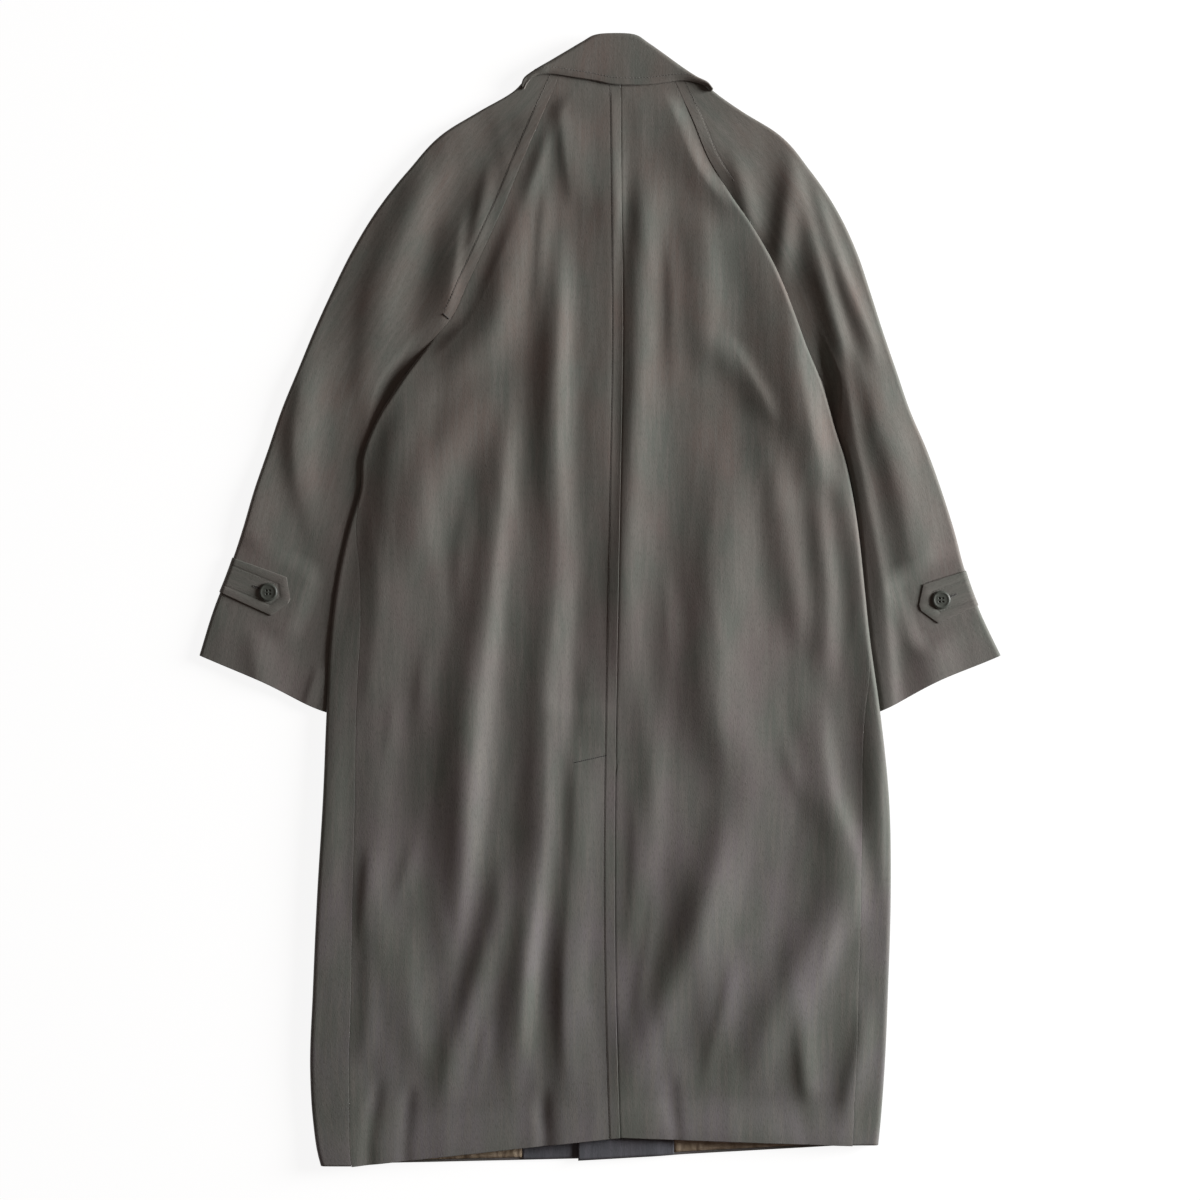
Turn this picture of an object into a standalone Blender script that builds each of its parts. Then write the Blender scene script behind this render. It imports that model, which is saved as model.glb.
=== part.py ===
"""A loose raglan coat laid out flat on a floor, back upwards and collar towards +Y.

Sizes are in millimetres from the middle of the coat's outline, z is the height above the floor, and
left is the wearer's left, which is the -X side. Every piece is a wall between an outer and an inner
grid of points; the panels share the rows of points of the seams that join them.
"""

import bmesh
import bpy
import numpy as np
from mathutils import Matrix

MM = 0.001
LEFT, RIGHT = -1, 1
SIDE_NAME = {LEFT: "left", RIGHT: "right"}

# Cloth walls and the clear space between pieces
SHELL = 1.6
COLLAR_CLOTH = 2.2
TAB_CLOTH = 2.0
FACING = 1.2
LINING = 1.0
LAYER_GAP = 0.4
SEAM_GAP = 0.4
SIDE_SEAM_EXTRA_GAP = 1.8
SIDE_SEAM_TURN_Y = {LEFT: 110.0, RIGHT: -60.0}
SIDE_SEAM_TURN_RUN = 45.0

# Levels of the layers above the floor
BACK_REST = 12.5
BACK_LOWEST = 9.0
SLEEVE_REST = 8.0
SLEEVE_LOWEST = 4.4
SLEEVE_TUCKED = 4.2
NECK_LEVEL = 10.2
OVER_SLEEVE = SLEEVE_TUCKED + LAYER_GAP
NECK_RISE = COLLAR_CLOTH + LAYER_GAP
LAP_RISE = SHELL + FACING + 2 * LAYER_GAP
SETTLE_SOFTNESS = 1.5

# Heights of the outline's corners
NECK_Y = 585.0
CENTRE_NECK_Y = 588.0
FRONT_NECK_Y = 545.0
ARMPIT_Y = 240.0
CUFF_INNER_Y = -128.0
CUFF_BOW = {LEFT: 6.5, RIGHT: 4.5}
CUFF_BOW_SHARE = 0.6
CUFF_DIP = {LEFT: 0.6, RIGHT: 3.0}
CUFF_BOW_FROM_Y = -40.0
CENTRE_HEM_Y = -591.0
SIDE_HEM_Y = {LEFT: -623.0, RIGHT: -600.0}
FRONT_HEM_Y = {LEFT: -615.0, RIGHT: -618.5}
NECK_FLAT_Y = 566.0
NECK_BLEND = 30.0
SLEEVE_NECK_FLAT_Y = 550.0
NECK_RISE_FROM_Y, NECK_RISE_TO_Y = 415.0, 465.0

# Folded edges, seams and laps
FOLD_REACH = 6.0
SEAM_BLEND = {LEFT: 24.0, RIGHT: 15.0}
STRIP_WIDTH = 11.0
STRIP_STEP = 1.0
STRIP_RAISE = 0.8
STRIP_FADE = 15.0
OVERARM_INSET = 14.0
SLEEVE_TUCK = 16.0
SLEEVE_TUCK_RUN = 70.0
TUCKED_FLAT = 20.0
TUCKED_BLEND = 28.0
ARMPIT_RUN = 60.0
ON_SLEEVE_WIDTH, ON_SLEEVE_RAMP = 45.0, 40.0
ON_SLEEVE_ABOVE = 30.0
ON_SLEEVE_BELOW, ON_SLEEVE_BELOW_RAMP = 77.0, 40.0
VENT_TOP_Y = -171.0
VENT_LIFT = SHELL + 2 * LAYER_GAP
VENT_LIFT_ABOVE, VENT_LIFT_RUN = 65.0, 25.0
VENT_LIFT_WIDTH, VENT_LIFT_RAMP = 60.0, 25.0
VENT_LAP = 4.0
VENT_LAP_RUN = 8.0
VENT_LAP_DROP = 0.6
VENT_UNDERLAP_WIDTH = 45.0
VENT_UNDERLAP_GAP = 0.8
VENT_UNDERLAP_BELOW = 20.0
FRONT_EDGE_X = {LEFT: 50.0, RIGHT: -24.0}
FRONT_LAP_CLEAR, FRONT_LAP_RAMP = 6.0, 40.0

# Body outline: height y, left edge x, right edge x. Raglan seam down to the armpit, folded side below.
BODY_EDGE = (
    (590, -40, 75), (572, -47, 82), (530, -65, 101), (484, -85, 120), (442, -102, 146), (396, -123, 177),
    (349, -145, 201), (308, -165, 217), (283, -187, 226), (240, -220, 244), (187, -251, 259),
    (154, -262, 270), (127, -263, 276), (77, -277, 284), (22, -289, 290), (-44, -297, 297),
    (-123, -301, 308), (-220, -305, 318), (-319, -311, 320), (-429, -316, 317), (-519, -319, 313),
    (-572, -316, 309), (-612, -310, 305), (-626, -306, 304),
)
# Sleeve outline: height y, left outer edge x, right outer edge x
SLEEVE_EDGE = (
    (577, -78, 100), (571, -84.5, 113), (562, -93, 123), (537, -135, 158), (517, -168, 191),
    (473, -211, 231), (429, -246, 261), (385, -273, 282), (341, -295, 297), (297, -315, 311),
    (253, -333, 326), (209, -351, 341), (165, -366, 360), (121, -381, 376), (77, -394, 390),
    (33, -409, 402), (-11, -426, 418), (-61, -441.5, 441.5),
)
# Width of the front that shows on the back beside the folded edge: height y, left, right
SIDE_SHOWS = (
    (240, 0, 0), (127, 0, 0), (102, 3, 0), (77, 9, 0), (22, 25, 0), (-44, 33, 0), (-88, 33, 8),
    (-123, 33, 17), (-176, 34, 26), (-264, 37, 32), (-385, 41, 33), (-495, 43, 32), (-550, 42, 31),
    (-626, 34, 27),
)
# Free edge of the lapped centre-back seam: height y, x
CENTRE_EDGE = (
    (590, 22), (430, 24), (300, 25), (110, 22), (-110, 18), (-290, 16), (-420, 17), (-505, 19), (-595, 22),
)

# Folds of the back: name, crest as rows of height y, crest x and fold height, then left width and right width
BACK_FOLDS = (
    ("left raglan", ((550, -60, 1), (480, -80, 3.5), (430, -90, 5), (350, -104, 8), (300, -118, 8),
        (255, -150, 4.5), (222, -190, 0)), 27, 26),
    ("left raglan top", ((556, -46, 0.5), (520, -60, 2), (470, -72, 2.5), (420, -84, 0)), 12, 11),
    ("left inner", ((415, -46, 0), (330, -47, 6.5), (160, -50, 7.5), (50, -48, 4), (-90, -60, 5.5),
        (-270, -66, 8), (-430, -86, 8), (-580, -98, 0)), 23, 14),
    ("left valley", ((80, -20, 0), (-20, -26, -2.5), (-120, -29, -3), (-195, -31, 0)), 9, 15),
    ("left edge fall", ((250, -216, 0), (180, -255, -4), (77, -278, -4.5), (-44, -298, -4.5),
        (-128, -302, -3), (-250, -306, 0)), 30, 22),
    ("left of neck", ((548, -42, 1), (505, -37, 4.5), (460, -31, 4), (415, -28, 0)), 10, 22),
    ("left long", ((245, -95, 0), (150, -107, 5), (60, -116, 7.5), (-20, -124, 7.5), (-110, -135, 7),
        (-200, -143, 7.5), (-280, -150, 7), (-360, -160, 4), (-440, -170, 0)), 26, 14),
    ("left hip swell", ((10, -140, 0), (-100, -152, 5), (-200, -157, 6), (-320, -165, 0)), 46, 26),
    ("left side", ((245, -200, 0), (180, -222, 3.5), (100, -230, 5), (20, -236, 4.5), (-60, -242, 3),
        (-150, -248, 0)), 24, 56),
    ("left blade", ((260, -118, 0), (200, -150, 3), (130, -190, 4), (70, -200, 3),
        (10, -205, 0)), 24, 24),
    ("left seam", ((-40, -250, 0), (-110, -248, 1), (-180, -250, 1.5), (-260, -252, 1.5),
        (-330, -252, 2.5), (-430, -251, 3), (-490, -255, 2), (-520, -260, 0)), 14, 26),
    ("left front edge", ((20, -284, 0), (-60, -289, 1.2), (-180, -292, 1.6), (-280, -295, 1),
        (-400, -300, 0)), 10, 16),
    ("left knee", ((-255, -102, 0), (-340, -113, 5), (-400, -129, 6), (-460, -148, 5.5), (-520, -165, 3),
        (-580, -175, 0)), 17, 20),
    ("left of vent", ((-150, -21, 0), (-220, -25, 3), (-330, -32, 2.5), (-430, -38, 4.5),
        (-500, -37, 2.5), (-570, -30, 0)), 11, 20),
    ("left calf", ((-330, -215, 0), (-400, -212, 2.5), (-470, -208, 3), (-530, -200, 0)), 20, 16),
    ("left hem outer dip", ((-515, -241, 0), (-555, -248, -3), (-600, -255, -1.5)), 7, 8),
    ("left hem dip", ((-525, -208, 0), (-560, -212, -3), (-597, -215, -1.5)), 8, 7),
    ("left hem inner dip", ((-530, -61, 0), (-560, -63, -3), (-592, -61, -1.5)), 8, 7),
    ("centre strip", ((560, 12, 1.5), (500, 14, 2.5), (440, 16, 5), (390, 14, 3), (330, 10, 2),
        (165, 6, 2), (0, 2, 0)), 28, 10),
    ("right inner", ((490, 52, 0), (420, 47, 6), (340, 43, 7), (250, 40, 7), (150, 35, 6), (50, 28, 5.5),
        (-50, 26, 3.5), (-135, 24, 0)), 18, 20),
    ("right raglan", ((562, 72, 1.5), (520, 92, 3), (483, 110, 4.5), (445, 138, 4),
        (405, 168, 0)), 28, 18),
    ("right blade", ((450, 103, 0), (400, 111, 4), (330, 112, 5.5), (280, 118, 4),
        (230, 150, 0)), 30, 24),
    ("right blade crease", ((305, 128, 0), (260, 155, 3), (220, 178, 3), (185, 192, 0)), 20, 9),
    ("right armhole", ((445, 150, 3), (370, 188, 6), (330, 203, 7), (290, 211, 9.5), (240, 218, 11.5),
        (190, 228, 11.5), (150, 238, 7), (105, 246, 0)), 44, 18),
    ("right upper side", ((210, 178, 0), (140, 190, 4), (90, 200, 5), (40, 207, 5), (-10, 215, 4),
        (-65, 222, 0)), 20, 18),
    ("right narrow", ((155, 238, 1), (80, 242, 5), (10, 248, 5), (-40, 248, 4), (-115, 242, 0)), 16, 12),
    ("right edge", ((155, 262, 0), (100, 273, 4), (40, 284, 4.5), (-20, 292, 4.5), (-90, 301, 5),
        (-200, 308, 6), (-280, 309, 4), (-350, 308, 0)), 18, 8),
    ("right broad", ((200, 143, 0), (120, 137, 4), (30, 128, 8), (-60, 123, 10), (-130, 129, 9),
        (-190, 150, 5.5), (-250, 158, 3.5), (-320, 165, 0)), 34, 36),
    ("right of vent", ((-75, 52, 0), (-150, 54, 2.5), (-220, 54, 3.5), (-290, 48, 3), (-360, 40, 2),
        (-435, 28, 0)), 17, 17),
    ("right knee", ((-208, 140, 0), (-280, 130, 5), (-340, 113, 6.5), (-395, 90, 7), (-450, 68, 6),
        (-505, 44, 3), (-560, 26, 0)), 24, 26),
    ("right thigh swell", ((-240, 100, 0), (-320, 110, 4), (-400, 120, 5), (-470, 130, 3),
        (-540, 140, 0)), 34, 70),
    ("right side, lower", ((-180, 246, 0), (-270, 258, 4), (-335, 256, 6), (-390, 228, 7), (-440, 203, 7),
        (-490, 182, 4.5), (-550, 166, 0)), 26, 26),
    ("right hip", ((-85, 244, 0), (-160, 244, 4), (-220, 254, 4.5), (-275, 275, 4), (-330, 278, 3),
        (-385, 270, 0)), 22, 12),
    ("right hem", ((-415, 222, 0), (-480, 222, 3.5), (-530, 225, 3.5), (-568, 229, 0)), 12, 14),
    ("right side seam", ((-425, 290, 0), (-480, 287, 3), (-530, 277, 3.5), (-585, 264, 1)), 12, 13),
    ("right hem dip", ((-515, 79, 0), (-550, 79, -3), (-588, 83, -1.5)), 9, 8),
)
# Folds of the sleeves, in the same columns
SLEEVE_FOLDS = (
    ("left outer", ((512, -165, 2), (445, -200, 7), (390, -222, 7), (335, -240, 6.5), (290, -248, 5),
        (240, -262, 4), (180, -294, 0)), 24, 24),
    ("left seam rise", ((565, -50, 2), (484, -85, 6), (442, -102, 7), (396, -123, 7), (349, -145, 6),
        (308, -165, 4), (265, -200, 0)), 42, 30),
    ("left cap", ((495, -118, 0), (450, -127, 2), (405, -137, 2), (352, -152, 0)), 8, 10),
    ("left cap, lower", ((442, -150, 0), (400, -157, 3), (360, -162, 4), (320, -170, 3),
        (280, -188, 0)), 20, 9),
    ("left elbow", ((290, -306, 0), (220, -330, 4), (165, -334, 5), (110, -327, 4),
        (40, -312, 0)), 13, 22),
    ("left forearm", ((190, -372, 0), (110, -384, 3), (60, -392, 2), (20, -398, 0)), 10, 26),
    ("left cuff", ((-20, -376, 0), (-60, -378, 2.5), (-110, -372, 2.5)), 12, 22),
    ("left sleeve hollow", ((330, -235, 0), (260, -270, -3.5), (160, -298, -4.5), (60, -322, -4),
        (-40, -340, -3.5), (-110, -348, -2)), 30, 42),
    ("right seam rise", ((565, 85, 1), (530, 101, 3), (484, 120, 4.5), (442, 146, 4), (396, 177, 1.5),
        (360, 196, 0)), 30, 24),
    ("right shoulder swell", ((545, 118, 0), (490, 165, 4), (430, 205, 5), (370, 232, 5),
        (320, 255, 0)), 30, 50),
    ("right sleeve swell", ((420, 215, 0), (330, 250, 5), (250, 275, 7), (150, 300, 7), (50, 320, 5),
        (-60, 340, 0)), 26, 62),
    ("right cap", ((508, 140, 0), (460, 155, 4), (420, 164, 4), (382, 171, 0)), 12, 13),
    ("right cap, middle", ((508, 211, 1), (450, 208, 4.5), (410, 202, 5.5), (370, 197, 4.5),
        (332, 200, 0)), 13, 14),
    ("right long, upper", ((500, 207, 1), (430, 224, 4), (380, 238, 5), (330, 252, 5.5), (285, 264, 4.5),
        (252, 272, 0)), 13, 9),
    ("right outer", ((472, 230, 1.5), (415, 247, 4.5), (370, 262, 5), (325, 280, 5), (285, 296, 4),
        (242, 306, 0)), 12, 9),
    ("right long, lower", ((295, 262, 0), (240, 268, 2.5), (190, 276, 3.5), (130, 288, 3.5), (70, 300, 3.5),
        (10, 310, 3.5), (-50, 316, 3.5), (-122, 321, 3)), 17, 9),
    ("right forearm", ((280, 290, 1), (230, 300, 6), (190, 309, 7), (150, 322, 6.5), (100, 336, 5.5),
        (50, 346, 5), (0, 352, 4.5), (-50, 358, 4.5), (-105, 366, 3.5)), 20, 28),
)

# Collar from its left tip to its right tip: x and y of the roll, x and y of the fall's edge
COLLAR = (
    (-87, 570, -83, 561.5), (-76, 582, -73, 573.5), (-58, 591, -57, 578), (-41, 601, -44, 576),
    (-19, 614, -22, 573), (-6, 621, -6, 570.5), (13, 623, 13, 567), (38, 621.5, 35, 566),
    (53, 612.5, 53, 566.5), (70, 600.5, 70, 568), (90, 586.5, 89, 570), (107, 577, 104, 568),
    (119, 570, 115.5, 561.5),
    (124.5, 562.5, 119, 555),
)
COLLAR_ROLL_TOP = 17.0
COLLAR_EDGE_TOP = 12.9
COLLAR_UNDER = 10.6
COLLAR_ROLL_REACH = 5.0
COLLAR_ROLL_SHARE = 0.3
COLLAR_STAND_SHARE = 0.6
COLLAR_STAND_LEAST = 2.0
# Collar ends on the floor side: x and y of the roll, x and y of the edge, at the neck's side and the front
COLLAR_POINT = {
    LEFT: ((-80, 566, -82, 556), (10, 562, -18, 488)),
    RIGHT: ((116, 562, 118, 552), (18, 562, 46, 488)),
}

# Cuff tabs: height at which the tab's middle crosses the sleeve's edge, direction in, length to the tip
TAB_ROOT_Y = {LEFT: 27.5, RIGHT: 13.0}
TAB_ALONG = {LEFT: (0.925, -0.380), RIGHT: (-0.933, -0.360)}
TAB_LENGTH = {LEFT: 75.0, RIGHT: 61.0}
TAB_WIDTH, TAB_ROOT_WIDTH = 46.0, 41.0
TAB_POINT = 13.0
TAB_TIP_WIDTH = 5.0
TAB_GAP = 0.8
TAB_FROM_ANGLE = -34.0
TAB_EDGE_RUN = 20.0
TAB_FLAT_BESIDE = 20.0
TAB_FLAT_BLEND = 30.0
BUTTON_FROM_TIP = 25.2
BUTTON_RADIUS = 10.2
BUTTON_THICKNESS = 3.0
BUTTON_RIM = 1.9
BUTTON_DISH, BUTTON_DISH_SLOPE = 0.7, 1.0
BUTTON_BACK_BEVEL, BUTTON_RIM_BEVEL = 1.0, 0.8
BUTTON_HOLE_RADIUS = 0.95
BUTTON_HOLE_SPREAD = 2.4

# Rows and columns of the grids
RAGLAN_ROWS = (0, 0.03, 0.08, 0.16, 0.26, 0.37, 0.48, 0.59, 0.70, 0.80, 0.90, 1.0)
SIDE_ROWS = 23
CUFF_ROWS = 11
EDGE_COLUMNS = (0.0, 3.0, 7.0, 12.0)
BACK_COLUMNS = 11
SLEEVE_COLUMNS = 9
ROLL_COLUMNS = 5
SIDE_COLUMNS = 7
FRONT_SHARES = {
    LEFT: (0.0, 0.383, 0.70, 0.89, 0.975, 1.0),
    RIGHT: (0.0, 0.235, 0.28, 0.327, 0.369, 0.60, 0.89, 0.975, 1.0),
}
FACING_COLUMN = {LEFT: 1, RIGHT: 3}
LINING_LAST_COLUMN = {LEFT: 4, RIGHT: 7}
INSIDE_ROWS = 5
VENT_UNDERLAP_COLUMNS = 5
FACING_ABOVE_HEM = 1.5
LINING_ABOVE_HEM = 4.0
UNDER_SLEEVE_SHARES = (0.0, 0.25, 0.5, 0.75, 1.0)
COLLAR_STATIONS = 27
COLLAR_FALL_COLUMNS, COLLAR_ROLL_COLUMNS, COLLAR_STAND_COLUMNS = 5, 6, 3
COLLAR_POINT_ROWS, COLLAR_POINT_COLUMNS = 5, 4
TAB_ROLL_COLUMNS, TAB_FLAT_COLUMNS, TAB_ROWS = 5, 4, 5
SECTION_STEPS = 24
SECTION_FLAT, SECTION_FLAT_STEP = 64.0, 2.0
SLEEVE_EDGE_STEPS = 200
BUTTON_SIDES, BUTTON_HOLE_SIDES = 36, 10
STEEPEST_WALL = 1.6
SHARP_ANGLE = 40.0

# Materials: base colour (linear), roughness
GABARDINE = ("grey_green_wool_gabardine", (0.094, 0.089, 0.081), 0.85)
FACING_CLOTH = ("dark_facing_wool", (0.070, 0.069, 0.074), 0.85)
LINING_CLOTH = ("brown_satin_lining", (0.185, 0.140, 0.094), 0.45)
BUTTON_PLASTIC = ("dark_green_button_plastic", (0.045, 0.048, 0.043), 0.40)


def smoothstep(value):
    share = np.clip(value, 0.0, 1.0)
    return share * share * (3.0 - 2.0 * share)


def blend(first, second, share):
    return first + (second - first) * share


def curve(table, column, level_ends=False):
    """A smooth curve through a table's first column and another one, made of cubic pieces."""
    rows = sorted(table)
    at = np.array([row[0] for row in rows], float)
    values = np.array([row[column] for row in rows], float)
    slopes = np.gradient(values, at)
    if level_ends:
        slopes[[0, -1]] = 0.0

    def value(where):
        where = np.clip(where, at[0], at[-1])
        piece = np.clip(np.searchsorted(at, where) - 1, 0, len(at) - 2)
        width = at[piece + 1] - at[piece]
        t = (where - at[piece]) / width
        start = (1 + 2 * t) * (1 - t) ** 2 * values[piece] + t * (1 - t) ** 2 * width * slopes[piece]
        end = t * t * (3 - 2 * t) * values[piece + 1] + t * t * (t - 1) * width * slopes[piece + 1]
        return start + end

    return value


body_edge = {LEFT: curve(BODY_EDGE, 1), RIGHT: curve(BODY_EDGE, 2)}
sleeve_edge = {LEFT: curve(SLEEVE_EDGE, 1), RIGHT: curve(SLEEVE_EDGE, 2)}
side_shows = {LEFT: curve(SIDE_SHOWS, 1), RIGHT: curve(SIDE_SHOWS, 2)}
centre_edge = curve(CENTRE_EDGE, 1)


def fold_heights(folds, x, y):
    """Sum of the folds at points: each is a bell across its crest, with its own width on each side, and its
    crest and height are smooth curves down the cloth."""
    total = np.zeros(np.broadcast(x, y).shape)
    for _, crest, left, right in folds:
        crest_x = curve(crest, 1)
        lean = np.hypot(1.0, (crest_x(y + 1.0) - crest_x(y - 1.0)) / 2)
        away = (x - crest_x(y)) / lean
        width = np.where(away < 0, left, right)
        total = total + curve(crest, 2, True)(y) * np.exp(-((away / width) ** 2))
    return total


def settled(level, lowest):
    """A level that is softly kept above the lowest one."""
    return lowest + SETTLE_SOFTNESS * np.logaddexp(0.0, (level - lowest) / SETTLE_SOFTNESS)


def neck_rise(y):
    """How far the lower layers are lifted by the collar's ends under them."""
    return NECK_RISE * smoothstep((y - NECK_RISE_FROM_Y) / (NECK_RISE_TO_Y - NECK_RISE_FROM_Y))


def back_top(x, y):
    """Top surface of the back panels."""
    level = settled(BACK_REST + fold_heights(BACK_FOLDS, x, y), BACK_LOWEST + neck_rise(y))
    return blend(NECK_LEVEL, level, smoothstep((NECK_FLAT_Y - y) / NECK_BLEND))


def tab_place(side, inward):
    """The point on a cuff tab's middle line at a distance in from the sleeve's edge."""
    root = np.array((sleeve_edge[side](TAB_ROOT_Y[side]), TAB_ROOT_Y[side]))
    return root + inward * np.array(TAB_ALONG[side])


def tab_flatness(x, y):
    """One where a cuff tab lies on the sleeve, nothing away from it."""
    flat = np.zeros(np.broadcast(x, y).shape)
    for side in (LEFT, RIGHT):
        root, along = tab_place(side, 0.0), TAB_ALONG[side]
        reach = (x - root[0]) * along[0] + (y - root[1]) * along[1]
        sideways = np.abs((x - root[0]) * along[1] - (y - root[1]) * along[0])
        past = np.hypot(np.maximum(reach - TAB_LENGTH[side], 0.0), np.maximum(sideways - TAB_WIDTH / 2, 0.0))
        flat = np.maximum(flat, 1 - smoothstep((past - TAB_FLAT_BESIDE) / TAB_FLAT_BLEND))
    return flat


def sleeve_top(x, y):
    """Top surface of the sleeves before their inner edge is tucked under the body."""
    level = settled(SLEEVE_REST + fold_heights(SLEEVE_FOLDS, x, y), SLEEVE_LOWEST + neck_rise(y))
    level = blend(level, SLEEVE_REST, tab_flatness(x, y))
    return blend(NECK_LEVEL, level, smoothstep((SLEEVE_NECK_FLAT_Y - y) / NECK_BLEND))


def tucked(y):
    """One where the sleeve's inner edge lies under the body, nothing up the raglan seam."""
    return smoothstep((ARMPIT_Y + ARMPIT_RUN - y) / ARMPIT_RUN)


def front_under(side, x, y):
    """Underside of a front panel: on the floor, but over the sleeve, the collar's end and the other front."""
    inside = (x - body_edge[side](y)) * -side
    below_armpit = smoothstep((ARMPIT_Y + ON_SLEEVE_ABOVE - y) / ON_SLEEVE_ABOVE)
    above_cuff = smoothstep((y - CUFF_INNER_Y + ON_SLEEVE_BELOW) / ON_SLEEVE_BELOW_RAMP)
    beside = 1 - smoothstep((inside - ON_SLEEVE_WIDTH) / ON_SLEEVE_RAMP)
    level = neck_rise(y) + OVER_SLEEVE * below_armpit * above_cuff * beside
    if side == RIGHT:
        past_lap = smoothstep((x - FRONT_EDGE_X[LEFT] - FRONT_LAP_CLEAR) / FRONT_LAP_RAMP)
        level = level + LAP_RISE * (1 - past_lap)
    return level


def wall_depth(top, x, y):
    """Upright thickness of a sloping shell wall whose thickness across is SHELL."""
    slope = (top(x + 1.0, y) - top(x - 1.0, y)) / 2.0
    return SHELL * np.minimum(STEEPEST_WALL, np.hypot(1.0, slope))


def points(x, y, z):
    x, y, z = np.broadcast_arrays(x, y, z)
    return np.stack((x, y, z), axis=-1)


def body_levels(side):
    """Heights of a body panel's rows at its outer edge: down the raglan seam, then down the side."""
    raglan = NECK_Y + (ARMPIT_Y - NECK_Y) * np.array(RAGLAN_ROWS)
    below = np.linspace(ARMPIT_Y, SIDE_HEM_Y[side], SIDE_ROWS + 1)
    return np.concatenate((raglan, below[1:]))


def centre_levels():
    """Heights of the same rows at the centre back."""
    raglan = CENTRE_NECK_Y + (ARMPIT_Y - NECK_Y) * np.array(RAGLAN_ROWS)
    below = np.linspace(raglan[-1], CENTRE_HEM_Y, SIDE_ROWS + 1)
    return np.concatenate((raglan, below[1:]))


def side_section(side, y):
    """Section through the folded side at height y, from the front's underside round the fold to the back.

    Returns the distance along it, the outer and the inner points, and the distance to the side seam.
    """
    edge = body_edge[side](y)
    inward = -side
    low = front_under(side, edge + inward * FOLD_REACH, y)
    high = back_top(edge + inward * FOLD_REACH, y)
    middle, half = (low + high) / 2, (high - low) / 2
    angle = np.radians(np.linspace(-90.0, 90.0, SECTION_STEPS + 1))
    flat_in = FOLD_REACH + np.arange(SECTION_FLAT_STEP, SECTION_FLAT, SECTION_FLAT_STEP)
    flat_x = edge + inward * flat_in
    flat_z = back_top(flat_x, y)
    outer_x = np.concatenate((edge + inward * FOLD_REACH * (1 - np.cos(angle)), flat_x))
    outer_z = np.concatenate((middle + half * np.sin(angle), flat_z))
    inner_reach = FOLD_REACH - SHELL
    inner_x = np.concatenate((edge + inward * (FOLD_REACH - inner_reach * np.cos(angle)), flat_x))
    inner_z = np.concatenate((middle + (half - SHELL) * np.sin(angle), flat_z - SHELL))
    along = np.concatenate(((0.0,), np.cumsum(np.hypot(np.diff(outer_x), np.diff(outer_z)))))
    half_way = SECTION_STEPS // 2
    shows = (outer_x[half_way:] - edge) * inward
    seam = np.interp(max(0.0, side_shows[side](y)), shows, along[half_way:])
    return along, points(outer_x, y, outer_z), points(inner_x, y, inner_z), seam


def side_seam_gap(side, y):
    """Space at the side seam, a little wider where the seam turns over the folded edge."""
    turn = (y - SIDE_SEAM_TURN_Y[side]) / SIDE_SEAM_TURN_RUN
    return SEAM_GAP + SIDE_SEAM_EXTRA_GAP * np.exp(-turn * turn)


def sampled(along, grid, where):
    return np.stack([np.interp(where, along, grid[:, axis]) for axis in range(3)], axis=-1)


def back_edge_columns(side, row, y):
    """The first columns of a back row, at the raglan seam or round the folded side."""
    edge = body_edge[side](y)
    if row < len(RAGLAN_ROWS) - 1:
        inside = SEAM_GAP / 2 + np.array(EDGE_COLUMNS)
        x = edge - side * inside
        seam_level = blend(sleeve_top(edge, y), SLEEVE_TUCKED, tucked(y))
        z = blend(seam_level, back_top(x, y), smoothstep(inside / SEAM_BLEND[side]))
        return points(x, y, z), points(x, y, z - SHELL)
    along, outer, inner, seam = side_section(side, y)
    where = seam + side_seam_gap(side, y) / 2 + np.array(EDGE_COLUMNS)
    return sampled(along, outer, where), sampled(along, inner, where)


def vent_lift(x, y):
    """How far the left back is lifted over the vent's underlap."""
    inside = centre_edge(y) - x
    below = smoothstep((VENT_TOP_Y + VENT_LIFT_ABOVE - y) / VENT_LIFT_RUN)
    return VENT_LIFT * below * (1 - smoothstep((inside - VENT_LIFT_WIDTH) / VENT_LIFT_RAMP))


def back_rows(side):
    """Outer and inner grids of a back panel, from its outer edge to the centre back."""
    outer_rows, inner_rows = [], []
    for row, (y_edge, y_centre) in enumerate(zip(body_levels(side), centre_levels())):
        outer, inner = back_edge_columns(side, row, y_edge)
        centre = centre_edge(y_centre)
        if side == LEFT:
            stop = centre - STRIP_WIDTH - STRIP_STEP
            last = np.array((stop, stop + STRIP_STEP, centre))
        else:
            lapped = smoothstep((VENT_TOP_Y - y_centre) / VENT_LAP_RUN)
            last = np.array((centre + blend(SEAM_GAP, -VENT_LAP, lapped),))
        shares = np.arange(1, BACK_COLUMNS + 1) / BACK_COLUMNS
        x = np.concatenate((blend(outer[-1, 0], last[0], shares), last[1:]))
        y = y_edge + (y_centre - y_edge) * (x - outer[-1, 0]) / (last[-1] - outer[-1, 0])
        z = back_top(x, y)
        depth = wall_depth(back_top, x, y)
        if side == LEFT:
            z = z + vent_lift(x, y)
            raised = z.copy()
            raised[-2:] += STRIP_RAISE * smoothstep((NECK_FLAT_Y - y[-2:]) / STRIP_FADE)
        else:
            z[-1] -= VENT_LAP_DROP * lapped
            raised = z
        outer_rows.append(np.concatenate((outer, points(x, y, raised))))
        inner_rows.append(np.concatenate((inner, points(x, y, z - depth))))
    return np.array(outer_rows), np.array(inner_rows)


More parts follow.
